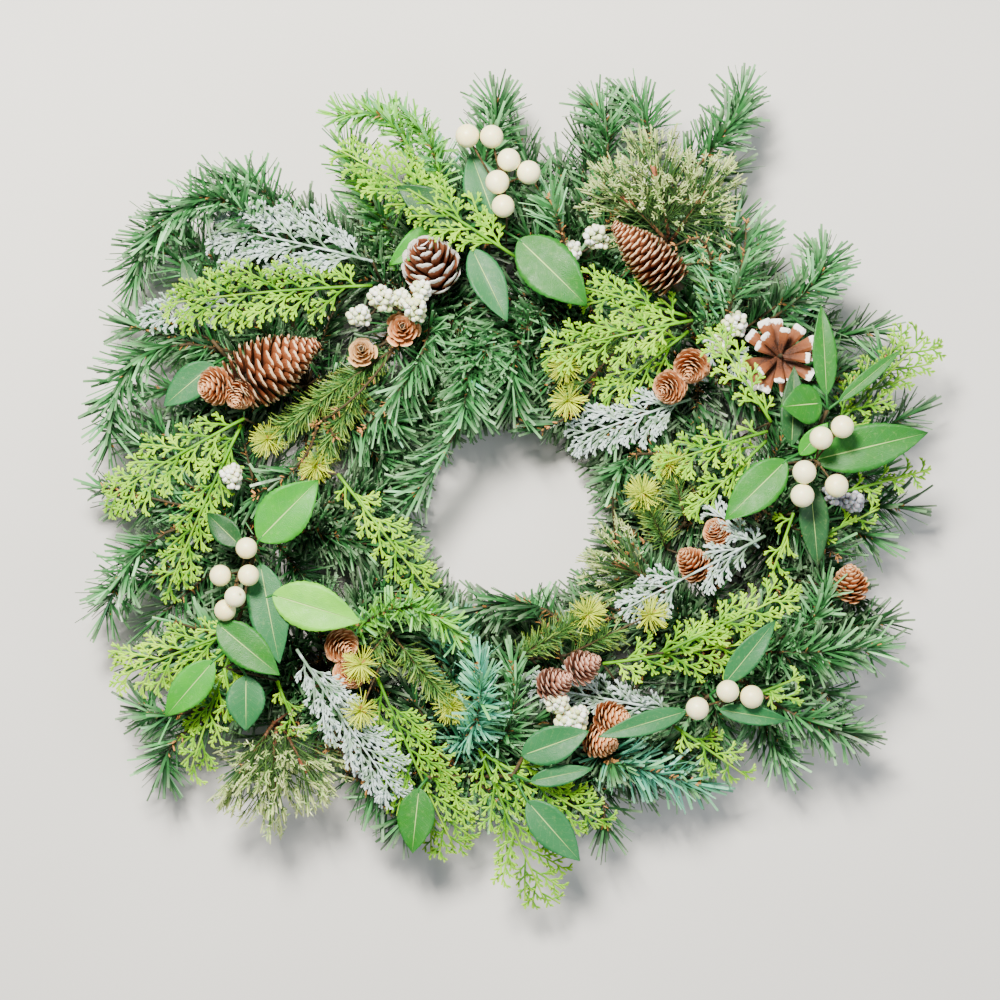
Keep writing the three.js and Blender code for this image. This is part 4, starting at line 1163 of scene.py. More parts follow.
FANS = (
    Fan(13, 0.62, (0.8, 0.93, 0.87), (16.0, 38.0, 26.0), 6.0, 10.0, 0.5),
    Fan(10, 0.6, (82.0, 98.0, 90.0), (20.0, 46.0, 34.0), 0.0, 12.0, -0.5),
    Fan(6, 0.7, (205.0, 150.0, 235.0, 125.0), (38.0,), 10.0, 12.0, 0.0),
)
PINE_TIPS = (
    PineTips(((283, 5, 40), (288, 72, 45)), ((88, 20, 48),), ((232, -32, 74),)),
    PineTips(((262, 133, 38), (224, 162, 44), (182, 196, 42)), ((70, 56, 48),), ((195, 150, 78),)),
    PineTips(((163, 286, 50), (116, 244, 40), (75, 290, 45)), ((42, 80, 46),), ((150, 178, 82),)),
    PineTips(
        ((-7, 292, 46), (-50, 256, 36), (-118, 262, 56), (-158, 222, 46)), ((-2, 90, 46),), ((-14, 112, 74),)
    ),
    PineTips(
        ((-200, 218, 40), (-250, 192, 46), (-266, 138, 36)), ((-46, 78, 48),), ((-84, 62, 72), (-124, 52, 78))
    ),
    PineTips(((-277, 62, 40), (-282, 12, 32), (-284, -56, 40)), ((-90, 14, 46),), ((-238, 24, 68),)),
    PineTips(((-262, -104, 34), (-244, -152, 42), (-192, -182, 30)), ((-78, -46, 44),), ((-238, -78, 66),)),
    PineTips(((-92, -202, 42), (-34, -212, 32)), ((-38, -84, 48),), ((-130, -168, 66), (-18, -142, 78))),
    PineTips(((45, -208, 34), (92, -194, 44), (130, -190, 38)), ((14, -90, 46),), ((72, -178, 72),)),
    PineTips(
        ((196, -178, 40), (240, -156, 46), (266, -78, 42)), ((60, -64, 46), (88, -22, 42)), ((226, -106, 72),)
    ),
)
BRIGHT_BUNCH = 3
BRIGHT_TIPS = ((-118, 262),)
TEAL_TIPS = ((-18, -142), (-38, -84))


@dataclass(frozen=True)
class Brush:
    """A pine branch of the top layer: its bunch, a point halfway, its tip, its tint and needle length."""

    bunch: int
    halfway: Place
    tip: Place
    tint: float = DEEP
    needle: float = 1.0
    on_top: bool = False


BRUSH_REACH = 150.0  # how far back from its tip a branch of the top layer has needles
BRUSH_FLECKS = 34
LOOSER = 1.7  # how much looser needles stand on a branch that lies over the picks
BRUSHES = (
    Brush(4, (-190, 214, 74), (-260, 196, 60), 0.3, 1.0, True),
    Brush(4, (-170, 222, 66), (-226, 222, 60), 0.3, 0.95, True),
    Brush(4, (-232, 199, 44), (-273, 168, 42)),
    Brush(4, (-250, 118, 64), (-289, 48, 48), 0.33),
    Brush(4, (-205, 116, 40), (-277, 138, 34)),
    Brush(5, (-235, 5, 60), (-293, 18, 50)),
    Brush(5, (-245, -15, 66), (-289, -72, 52), 0.33),
    Brush(4, (-140, 45, 88), (-180, 10, 84)),
    Brush(3, (-62, 112, 84), (-106, 56, 76), 0.36),
    Brush(3, (-30, 92, 78), (-68, 12, 60), 0.34),
    Brush(3, (-96, 96, 78), (-140, 62, 66), 0.34),
    Brush(2, (6, 118, 72), (8, 62, 52), 0.3),
    Brush(2, (62, 98, 56), (22, 60, 50), 0.3),
    Brush(2, (-14, 120, 70), (-24, 70, 54), 0.34),
    Brush(0, (92, 42, 56), (76, -22, 50)),
    Brush(8, (30, -92, 70), (6, -62, 58), 0.34),
    Brush(8, (38, -80, 74), (-24, -70, 64), 0.16),
    Brush(6, (-82, -70, 92), (-34, -92, 92), 0.98, 0.62, True),
    Brush(7, (-24, -148, 84), (-22, -108, 98), TEAL, 0.82, True),
    Brush(7, (-4, -158, 64), (1, -106, 72), 0.4, 0.85, True),
    Brush(9, (202, -86, 62), (224, -54, 70), 0.33, 0.75, True),
    Brush(9, (205, -100, 72), (262, -96, 60)),
    Brush(9, (190, -138, 66), (246, -158, 54)),
    Brush(8, (80, -178, 62), (136, -194, 50), TEAL),
    Brush(6, (-118, -172, 60), (-84, -214, 46)),
    Brush(6, (-225, -142, 56), (-263, -138, 44)),
    Brush(6, (-222, -150, 54), (-248, -184, 38)),
    Brush(2, (36, 196, 92), (28, 220, 98), 0.42),
    Brush(1, (142, 180, 84), (116, 186, 92), 0.9, 0.8),
    Brush(1, (158, 150, 86), (168, 206, 84), 0.36),
    Brush(1, (206, 152, 80), (222, 182, 70), 0.34),
    Brush(1, (232, 92, 72), (268, 112, 60)),
    Brush(2, (132, 246, 58), (168, 303, 56), 0.33),
    Brush(2, (96, 256, 50), (88, 300, 50), 0.3),
    Brush(2, (70, 254, 52), (62, 296, 50), 0.33),
    Brush(3, (-20, 250, 52), (-10, 298, 52), 0.33),
    Brush(3, (-72, 258, 92), (-122, 280, 88), BRIGHT, 0.62, True),
    Brush(3, (-52, 246, 88), (-92, 288, 80), BRIGHT, 0.62, True),
)


@dataclass
class PineBunch:
    """A bunch of pine branches wound on the ring by its stem wires."""

    number: int
    tips: PineTips
    canopy: Canopy
    outline: "Outline"
    random: np.random.Generator

    @property
    def turn(self) -> float:
        """The angle round the ring that the bunch is wound on at."""
        return FIRST_COLLAR + self.number * SECTOR

    def collar(self) -> tuple[Array, Array, Array]:
        """Where the bunch is wound on: the middle of the ring there, outwards, and along the ring."""
        out = np.array([math.cos(self.turn), math.sin(self.turn), 0.0])
        return out * RING_RADIUS + RING_HEIGHT * UP, out, np.array([-out[1], out[0], 0.0])

    def branches(self) -> list[tuple[Arch, float]]:
        """The branches that the solid has, each with its tint."""
        middle, out, along = self.collar()
        made = []
        for part, angle, rise in (("outer", 30, 10), ("inner", 150, 10), ("front", 90, 6)):
            tips = getattr(self.tips, part)
            for k, tip in enumerate(tips):
                spread = ROOT_STEP * (k - (len(tips) - 1) / 2) * (-1 if part == "inner" else 1)
                lift = math.radians(angle)
                root = middle + COLLAR_WALL * (math.cos(lift) * out + math.sin(lift) * UP) + spread * along
                made.append((Arch(root, tip, rise), self.tint(tip)))
        return made

    def tint(self, tip: Place) -> float:
        """The tint of the branch that ends at a tip.

        Args:
            tip: Where it ends.

        Returns:
            A tint from deep green through teal to bright green.
        """
        if tip[:2] in BRIGHT_TIPS:
            return BRIGHT
        if tip[:2] in TEAL_TIPS:
            return TEAL
        return DEEP + 0.12 * float(self.random.normal())

    def fillers(self) -> list[tuple[Arch, float]]:
        """Further branches between those of the solid, each with its tint, darker than the solid's branches
        as painted shade of the lower layer.
        """
        middle, out, _ = self.collar()
        made = []
        for fan in FANS:
            for k in range(fan.count):
                swing = self.turn + SECTOR * fan.spread * (2 * (k + 0.5) / fan.count - 1)
                height = fan.heights[k % len(fan.heights)]
                if fan.stray:
                    height += fan.stray * self.random.random()
                reach = fan.reaches[k % len(fan.reaches)]
                if reach < 1:
                    reach *= self.outline.radius(swing)
                tip = (reach * math.cos(swing), reach * math.sin(swing), height)
                root = middle + COLLAR_WALL * (fan.lean * out + 0.8 * UP)
                # the fillers lie low under the rest, and their tint is 0.14 darker as painted shade
                made.append((Arch(root, tip, fan.rise), DEEP - 0.14 + 0.09 * float(self.random.normal())))
        return made

    def brush(self, draft: Draft, brush: Brush) -> None:
        """Draws a branch of the top layer, with needles on its outer part only.

        Args:
            draft: The piece to draw in.
            brush: The branch.
        """
        branch = Arch(self.collar()[0] + COLLAR_WALL * 0.8 * UP, brush.tip, 0.0, brush.halfway)
        loose = LOOSER if brush.on_top else 1.0
        size, spread, curl = PINE.length * brush.needle, PINE.spread * loose, PINE.curl * loose
        kind = replace(PINE, length=size, spread=spread, curl=curl)
        needles = Needles(kind, Canopy() if brush.on_top else self.canopy, self.random)
        needles.stem(draft, branch, 1)
        needles.flecks(draft, branch, 1, BRUSH_FLECKS)
        needles.dress(draft, branch, brush.tint, branch.length() - BRUSH_REACH)

    def windings(self, draft: Draft) -> None:
        """Draws the stem wires wound round the ring.

        Args:
            draft: The piece to draw in.
        """
        middle, out, along = self.collar()
        turn = np.linspace(0, WINDINGS * 2 * math.pi, WINDINGS * 12 + 1)
        reach = np.linspace(-WOUND / 2, WOUND / 2, len(turn))[:, None]
        coil = middle + reach * along + WINDING_RADIUS * around(turn, out, UP)
        sweep(draft, coil, WINDING_WIRE, 6, 0.25, 1)

    def build(self) -> None:
        """Makes the bunch as one piece."""
        draft = Draft()
        needles = Needles(PINE, self.canopy, self.random)
        for branch, tint in self.branches() + self.fillers():
            needles.stem(draft, branch, 1)
            needles.flecks(draft, branch, 1)
            needles.dress(draft, branch, tint)
        for brush in BRUSHES:
            if brush.bunch == self.number:
                self.brush(draft, brush)
        self.windings(draft)
        number = f"{self.number + 1:02d}"
        slot = "bright_pine" if self.number == BRIGHT_BUNCH else "pine"
        draft.piece(f"pine_branches_{number}", [PINE_FILM, STEM], slot, f"pine_bunch_{number}")


class Outline:
    """How far the pine reaches from the middle of the ring, by angle."""

    def __init__(self, tips: Iterable[Place]) -> None:
        """Keeps the angles and reaches of the outer tips.

        Args:
            tips: The tips round the rim.
        """
        places = sorted((math.atan2(t[1], t[0]), math.hypot(t[0], t[1])) for t in tips)
        self.turns = [p[0] for p in places]
        self.reaches = [p[1] for p in places]

    def radius(self, turn: float) -> float:
        """The reach at an angle."""
        wrapped = math.atan2(math.sin(turn), math.cos(turn))
        return float(np.interp(wrapped, self.turns, self.reaches, period=2 * math.pi))


# ---- Fronds ----


@dataclass(frozen=True)
class Frond:
    """A flat spray of cedar or juniper: its ends, how far its sides reach, its tint, and its window.

    A window is a round place that it leaves free, as the place's X and Y and its radius.
    """

    start: Place
    end: Place
    reach: float
    tint: float = 0.5
    window: Place | None = None


@dataclass(frozen=True)
class FrondKind:
    """How finely a kind of frond is divided: ribs, sprigs on the ribs and teeth on the sprigs, in mm.

    The lift is how far shoots stray out of its plane, and the leans are those of its ribs and of the
    shoots on them, in degrees.
    """

    rib_step: float
    sprig_step: float
    sprig: float
    tooth_step: float
    tooth: float
    width: float
    lift: float
    rib_lean: float
    sprig_lean: float


TWIG = RodShape(((0.0, 0.62, 0.5), (0.4, 0.7, 0.55), (0.75, 0.6, 0.5), (1.0, 0.6, 0.45)), DIAMOND)
TOOTH = RodShape(((0.0, 0.6, 0.5), (0.7, 0.85, 0.6), (1.0, 0.5, 0.4)), DIAMOND)


@dataclass
class Shoots:
    """Many shoots of a frond at once, as rows: where each begins and which way it runs and bows."""

    base: Array
    way: Array
    up: Array
    length: Array
    bow: Array
    tint: Array

    def beside(self, window: Place) -> "Shoots":
        """The shoots that pass beside a round place.

        Args:
            window: The place's X and Y and its radius.

        Returns:
            Those shoots.
        """
        middle = np.array(window[:2])
        steps = [self.base + self.way * (share * self.length)[:, None] for share in (0.0, 0.3, 0.6, 0.9, 1.1)]
        near = np.min([np.linalg.norm(step[:, :2] - middle, axis=1) for step in steps], axis=0)
        keep = near > window[2]
        return Shoots(*(rows[keep] for rows in vars(self).values()))

    def draw(self, draft: Draft, shape: RodShape, girth: float, tint: float = 0.0) -> None:
        """Draws the shoots."""
        flat = np.cross(self.up, self.way) + 0.001
        draw_rods(draft, shape, self.base, self.way, flat, self.length, self.bow, girth, self.tint + tint)

    def at(self, rows: Array, share: Array) -> tuple[Array, Array]:
        """Places along the shoots and the direction there.

        Args:
            rows: Which shoot each place is on.
            share: How far along it.

        Returns:
            The places and the directions, as rows of three.
        """
        run = self.way[rows] * self.length[rows, None]
        place = self.base[rows] + run * share[:, None] + self.bow[rows] * (share**2)[:, None]
        return place, unit(run + 2 * self.bow[rows] * share[:, None])

    def fork(
        self, step: float, length: float, lean: float, lift: float, first: float, random: np.random.Generator
    ) -> "Shoots":
        """The shoots that stand along both sides of these.

        Args:
            step: How far apart they stand on one side.
            length: The length of the longest.
            lean: The angle that they make with these, in degrees.
            lift: How far they stray out of the plane, in degrees.
            first: How far along each shoot the first one stands.
            random: The source of chance.

        Returns:
            The new shoots.
        """
        counts = np.maximum(2 * (self.length * (1 - first) / step).astype(int), 2)
        rows = np.repeat(np.arange(len(counts)), counts)
        number = np.arange(len(rows)) - np.repeat(np.cumsum(counts) - counts, counts)
        share = first + (0.97 - first) * (number + 0.35 * random.random(len(rows))) / counts[rows]
        place, along = self.at(rows, share)
        up = self.up[rows]
        across = unit(np.cross(up, along)) * np.where(number % 2, 1.0, -1.0)[:, None]
        angle = np.radians(lean + random.normal(0, 5, len(rows)))
        tilt = np.radians(random.normal(0, lift, len(rows)))
        way = around(angle, along, around(tilt, across, up))
        left = self.length[rows] * (1 - share) * 0.85 + 0.35 * length
        size = np.minimum(length * random.uniform(0.75, 1.12, len(rows)), left)
        bow = along * (0.12 * size)[:, None] + up * (0.08 * size * random.normal(0, 1, len(rows)))[:, None]
        tint = np.clip(self.tint[rows] + random.normal(0, 0.07, len(rows)), 0, 1)
        return Shoots(place, unit(way), up, size, bow, tint)


@dataclass
class FrondSpray(Pick):
    """One or more fronds on a wire."""

    fronds: Sequence[Frond]

    kind: ClassVar[FrondKind]
    parts = "fronds"
    wire = 0.8
    arch = 0.3

    def hearts(self) -> Sequence[Place]:
        """The feet of its fronds."""
        return [frond.start for frond in self.fronds]

    def spine(self, frond: Frond, share: Array) -> Array:
        """Points along a frond's arched stem.

        Args:
            frond: The frond.
            share: How far along each is.

        Returns:
            Rows of three.
        """
        foot, along, _, rise, length = lay(frond.start, frond.end)
        height = self.arch * length * share * (1 - share)
        return foot + along * (length * share)[:, None] + rise * height[:, None]

    def ribs(self, frond: Frond) -> Shoots:
        """The side ribs of a frond.

        Args:
            frond: The frond.

        Returns:
            The ribs, long near the foot and short near the tip.
        """
        _, along, across, rise, length = lay(frond.start, frond.end)
        count = 2 * int(0.92 * length / self.kind.rib_step)
        share = 0.06 + 0.93 * (np.arange(count) + 0.4 * self.random.random(count)) / count
        side = np.where(np.arange(count) % 2, 1.0, -1.0)[:, None]
        base = self.spine(frond, share)
        lean = np.radians(self.kind.rib_lean + self.random.normal(0, 5, count))
        tilt = np.radians(self.random.normal(-6, self.kind.lift, count))
        forward = unit(along + rise * self.arch * (1 - 2 * share)[:, None])
        way = around(lean, forward, around(tilt, across * side, rise))
        reach = frond.reach * 1.12 * np.sin(math.pi * (0.16 + 0.76 * share)) ** 0.8
        reach = np.minimum(reach * self.random.uniform(0.78, 1.1, count), length * (1 - share) + 8)
        bow = forward * (0.14 * reach)[:, None] - rise * (0.07 * reach)[:, None]
        tint = np.clip(frond.tint + self.random.normal(0, 0.12, count), 0, 1)
        ribs = Shoots(base, unit(way), np.broadcast_to(rise, base.shape), reach, bow, tint)
        return ribs.beside(frond.window) if frond.window else ribs

    def foliage(self, draft: Draft) -> None:
        """Draws each frond: its stem, its side ribs, their sprigs and the teeth of the sprigs."""
        kind = self.kind
        share = np.linspace(0, 1, 16)
        for frond in self.fronds:
            sweep(draft, self.spine(frond, share), kind.width * (1.25 - 0.7 * share), 6, frond.tint - 0.25)
            ribs = self.ribs(frond)
            sprigs = ribs.fork(kind.sprig_step, kind.sprig, kind.sprig_lean, kind.lift, 0.16, self.random)
            teeth = sprigs.fork(kind.tooth_step, kind.tooth, kind.sprig_lean, kind.lift, 0.25, self.random)
            ribs.draw(draft, TWIG, kind.width * 1.05, -0.12)
            sprigs.draw(draft, TWIG, kind.width * 0.92)
            teeth.draw(draft, TOOTH, kind.width)


class CedarSpray(FrondSpray):
    """Fronds of lime cedar."""

    kind = FrondKind(16.5, 6.6, 11.0, 3.7, 4.4, 1.02, 10.0, 35.0, 40.0)
    skins = (CEDAR_SCALE,)
    slot = "cedar"


class JuniperSpray(FrondSpray):
    """Fronds of frosted juniper."""

    kind = FrondKind(11.0, 5.4, 11.0, 4.0, 4.4, 0.9, 22.0, 36.0, 32.0)
    skins = (FROSTED_SCALE,)
    slot = "frost"


CEDAR_SPRAYS = {
    "cedar_top": (Frond((4, 178, 94), (-120, 256, 84), 30, 0.55),),
    "cedar_left_upper": (Frond((-98, 160, 80), (-246, 150, 62), 34, 0.45),),
    "cedar_left": (
        Frond((-189, 66, 72), (-288, 10, 58), 28, 0.6), Frond((-192, 62, 64), (-246, -58, 50), 24, 0.5)
    ),
    "cedar_left_lower": (
        Frond((-192, -84, 70), (-276, -116, 60), 30, 0.65), Frond((-194, -88, 62), (-228, -186, 52), 24, 0.6)
    ),
    "cedar_bottom_left": (Frond((-94, -118, 66), (-40, -238, 52), 38, 0.35),),
    "cedar_bottom": (
        Frond((-22, -168, 58), (25, -277, 46), 32, 0.5), Frond((-18, -172, 66), (68, -222, 58), 22, 0.5)
    ),
    "cedar_lower_right": (
        Frond((66, -108, 66), (166, -94, 70), 26, 0.55), Frond((108, -100, 80), (202, -56, 74), 22, 0.65)
    ),
    "cedar_upper_right": (Frond((222, 52, 72), (298, 126, 62), 30, 0.3),),
    "cedar_centre_right": (
        Frond((130, 136, 74), (27, 112, 80), 28, 0.6),
        Frond((126, 140, 66), (36, 164, 70), 20, 0.55),
        Frond((128, 130, 60), (66, 80, 58), 20, 0.5),
    ),
    "cedar_right": (
        Frond((184, 62, 86), (142, 126, 86), 19, 0.6),
        Frond((182, 56, 79), (104, 32, 79), 20, 0.6),
        Frond((182, 50, 72), (128, -2, 72), 18, 0.55),
    ),
    "cedar_inner_left": (Frond((-122, 26, 76), (-58, -56, 60), 22, 0.6),),
}
CEDAR_SPRIGS = {
    "cedar_sprigs_far_right": (
        Frond((225, 10, 84), (300, 30, 66), 12, 0.35), Frond((216, -20, 80), (262, 2, 70), 12, 0.4)
    ),
    "cedar_sprig_inner_right": (Frond((200, -2, 80), (186, -42, 70), 14, 0.7),),
    "cedar_sprigs_lower_right": (
        Frond((176, -128, 82), (205, -117, 76), 9, 0.45), Frond((176, -128, 80), (205, -134, 74), 9, 0.5)
    ),
    "cedar_sprig_bottom_right": (Frond((116, -152, 70), (168, -188, 58), 18, 0.55),),
    "cedar_sprigs_lower_left": (
        Frond((-201, -111, 78), (-194, -149, 66), 9, 0.6), Frond((-164, -120, 76), (-148, -161, 66), 9, 0.6)
    ),
}
JUNIPER_SPRAYS = {
    "frosted_juniper_upper_left": (Frond((-98, 178, 76), (-208, 204, 66), 38),),
    "frosted_juniper_centre": (Frond((130, 82, 54), (48, 54, 48), 24),),
    "frosted_juniper_right": (Frond((180, -18, 78), (80, -70, 76), 22, window=(127, -35, 13)),),
    "frosted_juniper_lower_left": (Frond((-150, -98, 80), (-80, -200, 68), 28),),
    "frosted_juniper_bottom": (Frond((118, -142, 54), (8, -122, 52), 20),),
}
JUNIPER_SPRIGS = {
    "frosted_sprig_far_left": (Frond((-196, 150, 54), (-264, 144, 52), 17),),
    "frosted_sprigs_right": (
        Frond((148, 122, 58), (178, 96, 62), 12), Frond((150, 126, 56), (134, 100, 58), 9)
    ),
    "frosted_sprig_inner_right": (Frond((176, -26, 74), (138, 6, 72), 13),),
}


# ---- Leaves ----


@dataclass(frozen=True)
class Leaf:
    """A broad leaf from the end of its stalk to its tip."""

    start: Place
    end: Place
    width: float
    tint: float = 0.5


@dataclass
class LeafySprig(Pick):
    """A stem with broad leaves of printed cloth."""

    stem_line: Sequence[Place]
    leaves: Sequence[Leaf]
    rows: int = 43
    columns: int = 11
    teeth: int = 14
    thick: float = 0.7

    skins = (LEAF_CLOTH,)
    slot = "leaf"

    def title(self) -> str:
        """The solid's name, with its leaves named in it."""
        return self.name.replace("sprig", "leaves")

    def hearts(self) -> Sequence[Place]:
        """The foot of its stem."""
        return self.stem_line[:1]

    def surface(self, leaf: Leaf) -> tuple[Array, Array]:
        """The lower and the upper face of a leaf, folded along its midrib, arched and a little wavy.

        Args:
            leaf: The leaf.

        Returns:
            The points of both faces and their paint, row by row.
        """
        foot, along, across, rise, length = lay(leaf.start, leaf.end)
        s, v = np.meshgrid(np.linspace(0, 1, self.rows), np.linspace(-1, 1, self.columns), indexing="ij")
        half = leaf.width / 2 * ((s / 0.42) ** 0.76 * ((1 - s) / 0.58) ** 1.05 + 0.012)
        half = half * (1.02 - 0.05 * (s * self.teeth % 1.0))
        wave = 0.05 * leaf.width * np.sin(7 * s + 4 * self.random.random()) * v**2 * np.sin(math.pi * s)
        twist = 0.06 * leaf.width * float(self.random.normal()) * v * s
        lift = 0.16 * np.abs(v) * half + 0.16 * length * s * (1 - s) + wave + twist
        under = foot + along * (length * s)[..., None] + across * (v * half)[..., None]
        under = under + rise * lift[..., None]
        points = np.concatenate([under + rise * self.thick, under])
        return points, np.tile(threes(s, v / 2 + 0.5, leaf.tint, s.shape), (2, 1, 1))

    def blade(self, draft: Draft, leaf: Leaf) -> None:
        """Draws one leaf and its stalk.

        Args:
            draft: The piece to draw in.
            leaf: The leaf.
        """
        rows, columns = self.rows, self.columns
        i, j = np.meshgrid(np.arange(rows - 1), np.arange(columns - 1), indexing="ij")
        corner = (i * columns + j).reshape(-1)
        face = np.stack([corner, corner + columns, corner + columns + 1, corner + 1], 1)
        under = face[:, ::-1] + rows * columns
        left = np.arange(rows) * columns
        right = left[::-1] + columns - 1
        far = (rows - 1) * columns + np.arange(1, columns)
        rim = np.concatenate([left, far, right[1:], np.arange(1, columns - 1)[::-1]])
        following = np.roll(rim, -1)
        edge = np.stack([rim, rim + rows * columns, following + rows * columns, following], 1)
        points, paint = self.surface(leaf)
        draft.add(points, [np.concatenate([face, under, edge])], paint, 0, True)
        start, along, *_ = lay(leaf.start, leaf.end)
        nearest = min(self.stem_line, key=lambda place: np.linalg.norm(np.array(place) - start))
        stalk = np.array([nearest, start + UP * self.thick * 0.5, start + along * 4 + UP])
        sweep(draft, stalk, np.array([1.1, 0.9, 0.5]), 6, 0.4)

    def foliage(self, draft: Draft) -> None:
        """Draws the leaves."""
        for leaf in self.leaves:
            self.blade(draft, leaf)

    def stalks(self, draft: Draft) -> None:
        """Draws the stem."""
        sweep(draft, np.array(self.stem_line, float), 1.4, 8, 0.25, 1)


DARK, BLUISH, MID, FRESH, LIGHT = 0.05, 0.28, 0.5, 0.75, 1.0
LEAFY_SPRIGS = {
    "leafy_sprig_top": (
        ((-14, 196, 80), (-12, 202, 88)),
        (
            Leaf((6, 191, 92), (54, 143, 96), 38, MID),
            Leaf((-27, 184, 93), (-2, 131, 100), 24, BLUISH),
            Leaf((-34, 200, 93), (-80, 228, 97), 26, DARK),
            Leaf((-12, 209, 90), (-28, 253, 88), 28, BLUISH),
            Leaf((-44, 206, 82), (-86, 174, 82), 20, FRESH),
        ),
    ),
    "leafy_sprig_right": (
        ((206, 30, 80), (208, 42, 90), (223, 70, 92)),
        (
            Leaf((212, 34, 97), (292, 53, 100), 32, MID),
            Leaf((193, 34, 97), (150, -8, 94), 29, 0.58),
            Leaf((210, 19, 92), (216, -41, 86), 21, DARK),
            Leaf((222, 80, 94), (218, 143, 100), 17, MID),
            Leaf((218, 74, 98), (188, 70, 110), 28, MID),
            Leaf((198, 45, 88), (200, 101, 90), 18, DARK),
            Leaf((231, 76, 90), (276, 113, 90), 10, MID),
            Leaf((203, 38, 94), (222, 60, 102), 14, FRESH),
        ),
    ),
    "leafy_sprig_left": (
        ((-180, -30, 82), (-188, -70, 86), (-198, -98, 86)),
        (
            Leaf((-176, -22, 94), (-134, 20, 98), 35, FRESH),
            Leaf((-166, -60, 94), (-104, -79, 96), 33, LIGHT),
            Leaf((-175, -38, 90), (-161, -108, 90), 28, BLUISH),
            Leaf((-204, -80, 96), (-160, -116, 98), 27, MID),
            Leaf((-207, -106, 90), (-241, -145, 84), 25, FRESH),
            Leaf((-185, -116, 84), (-185, -155, 80), 27, BLUISH),
            Leaf((-190, -25, 84), (-214, -2, 80), 18, DARK),
        ),
    ),
    "leafy_sprig_lower_right": (
        ((136, -134, 72), (140, -130, 80)),
        (
            Leaf((123, -141, 86), (61, -159, 92), 16, BLUISH),
            Leaf((146, -140, 84), (196, -148, 86), 14, BLUISH),
            Leaf((150, -122, 84), (186, -77, 90), 18, BLUISH),
        ),
    ),
    "leafy_sprig_bottom": (
        ((10, -172, 68), (2, -186, 74), (-10, -188, 56), (-28, -188, 46), (-46, -188, 52), (-58, -188, 70)),
        (
            Leaf((8, -172, 84), (55, -155, 88), 26, BLUISH),
            Leaf((14, -190, 80), (58, -181, 82), 14, BLUISH),
            Leaf((12, -204, 76), (49, -246, 72), 26, BLUISH),
            Leaf((-64, -195, 72), (-69, -241, 68), 26, MID),
        ),
    ),
    "leafy_sprig_upper_left": (
        ((-204, 112, 56), (-214, 124, 60)),
        (Leaf((-212, 106, 64), (-248, 76, 60), 24, BLUISH), Leaf((-222, 142, 62), (-236, 184, 58), 15, DARK)),
    ),
}


# ---- Berries ----

CREAM_BALL = Ball(14, 22)
SMALL_BALL = Ball(5, 9)


@dataclass
class CreamSpray(Pick):
    """Cream berries, each on a stalk from one heart."""

    heart: Place
    berries: Sequence[Place]
    radius: float

    parts = "spray"
    skins = (CREAM_SKIN,)
    slot = "cream_berry"

    def hearts(self) -> Sequence[Place]:
        """Its one heart."""
        return [self.heart]

    def foliage(self, draft: Draft) -> None:
        """Draws the berries, each with its eye turned down."""
        for place in self.berries:
            eye = self.random.normal(size=3) - 2.0 * UP
            tint = float(self.random.random())
            radius = self.radius * self.random.uniform(0.97, 1.03)
            CREAM_BALL.draw(draft, np.array(place, float), radius, eye, tint)

    def stalks(self, draft: Draft) -> None:
        """Draws the stalk up to the middle of the spray, and a fork of it to each berry."""
        places = np.array(self.berries, float)
        crown = places.mean(0) - self.radius * UP
        heart = np.array(self.heart, float)
        sweep(draft, np.array([heart, (heart + crown) / 2 + 2 * UP, crown]), 1.2, 8, 0.3, 1)
        for i, end in enumerate(places):
            fork = heart + (crown - heart) * (i + 1) / (len(places) + 1)
            sweep(draft, np.array([fork, fork * 0.4 + end * 0.6 - 3 * UP, end]), 0.75, 6, 0.35, 1)


CREAM_SPRAYS = {
    "cream_berries_top": (
        (-2, 214, 92),
        ((-30, 261, 110), (-13, 260, 112), (-1, 243, 114), (13, 235, 110), (-9, 227, 116), (-5, 210, 116)),
        8.2,
    ),
    "cream_berries_right": (
        (212, 34, 100), ((229, 55, 122), (214, 47, 124), (203, 24, 118), (202, 8, 114), (226, 15, 112)), 8.2
    ),
    "cream_berries_left": (
        (-188, -40, 84),
        ((-183, -28, 106), (-201, -47, 106), (-181, -47, 110), (-190, -62, 112), (-198, -71, 102)),
        7.5,
    ),
    "cream_berries_lower_right": ((148, -138, 78), ((168, -131, 94), (151, -127, 98), (130, -139, 96)), 7.9),
}


@dataclass(frozen=True)
class Bunch:
    """A round bunch of small berries, from its stalk to its far side."""

    start: Place
    end: Place
    width: float


def scatter(number: int, count: int, turn: float) -> Array:
    """The way to one of a count of points that are spread evenly over a ball.

    Args:
        number: Which of them.
        count: How many there are.
        turn: The angle that the first is turned by.

    Returns:
        A direction.
    """
    height = 1 - 2 * (number + 0.5) / count
    flat = math.sqrt(1 - height * height)
    angle = GOLDEN * number + turn
    return np.array([flat * math.cos(angle), flat * math.sin(angle), height])


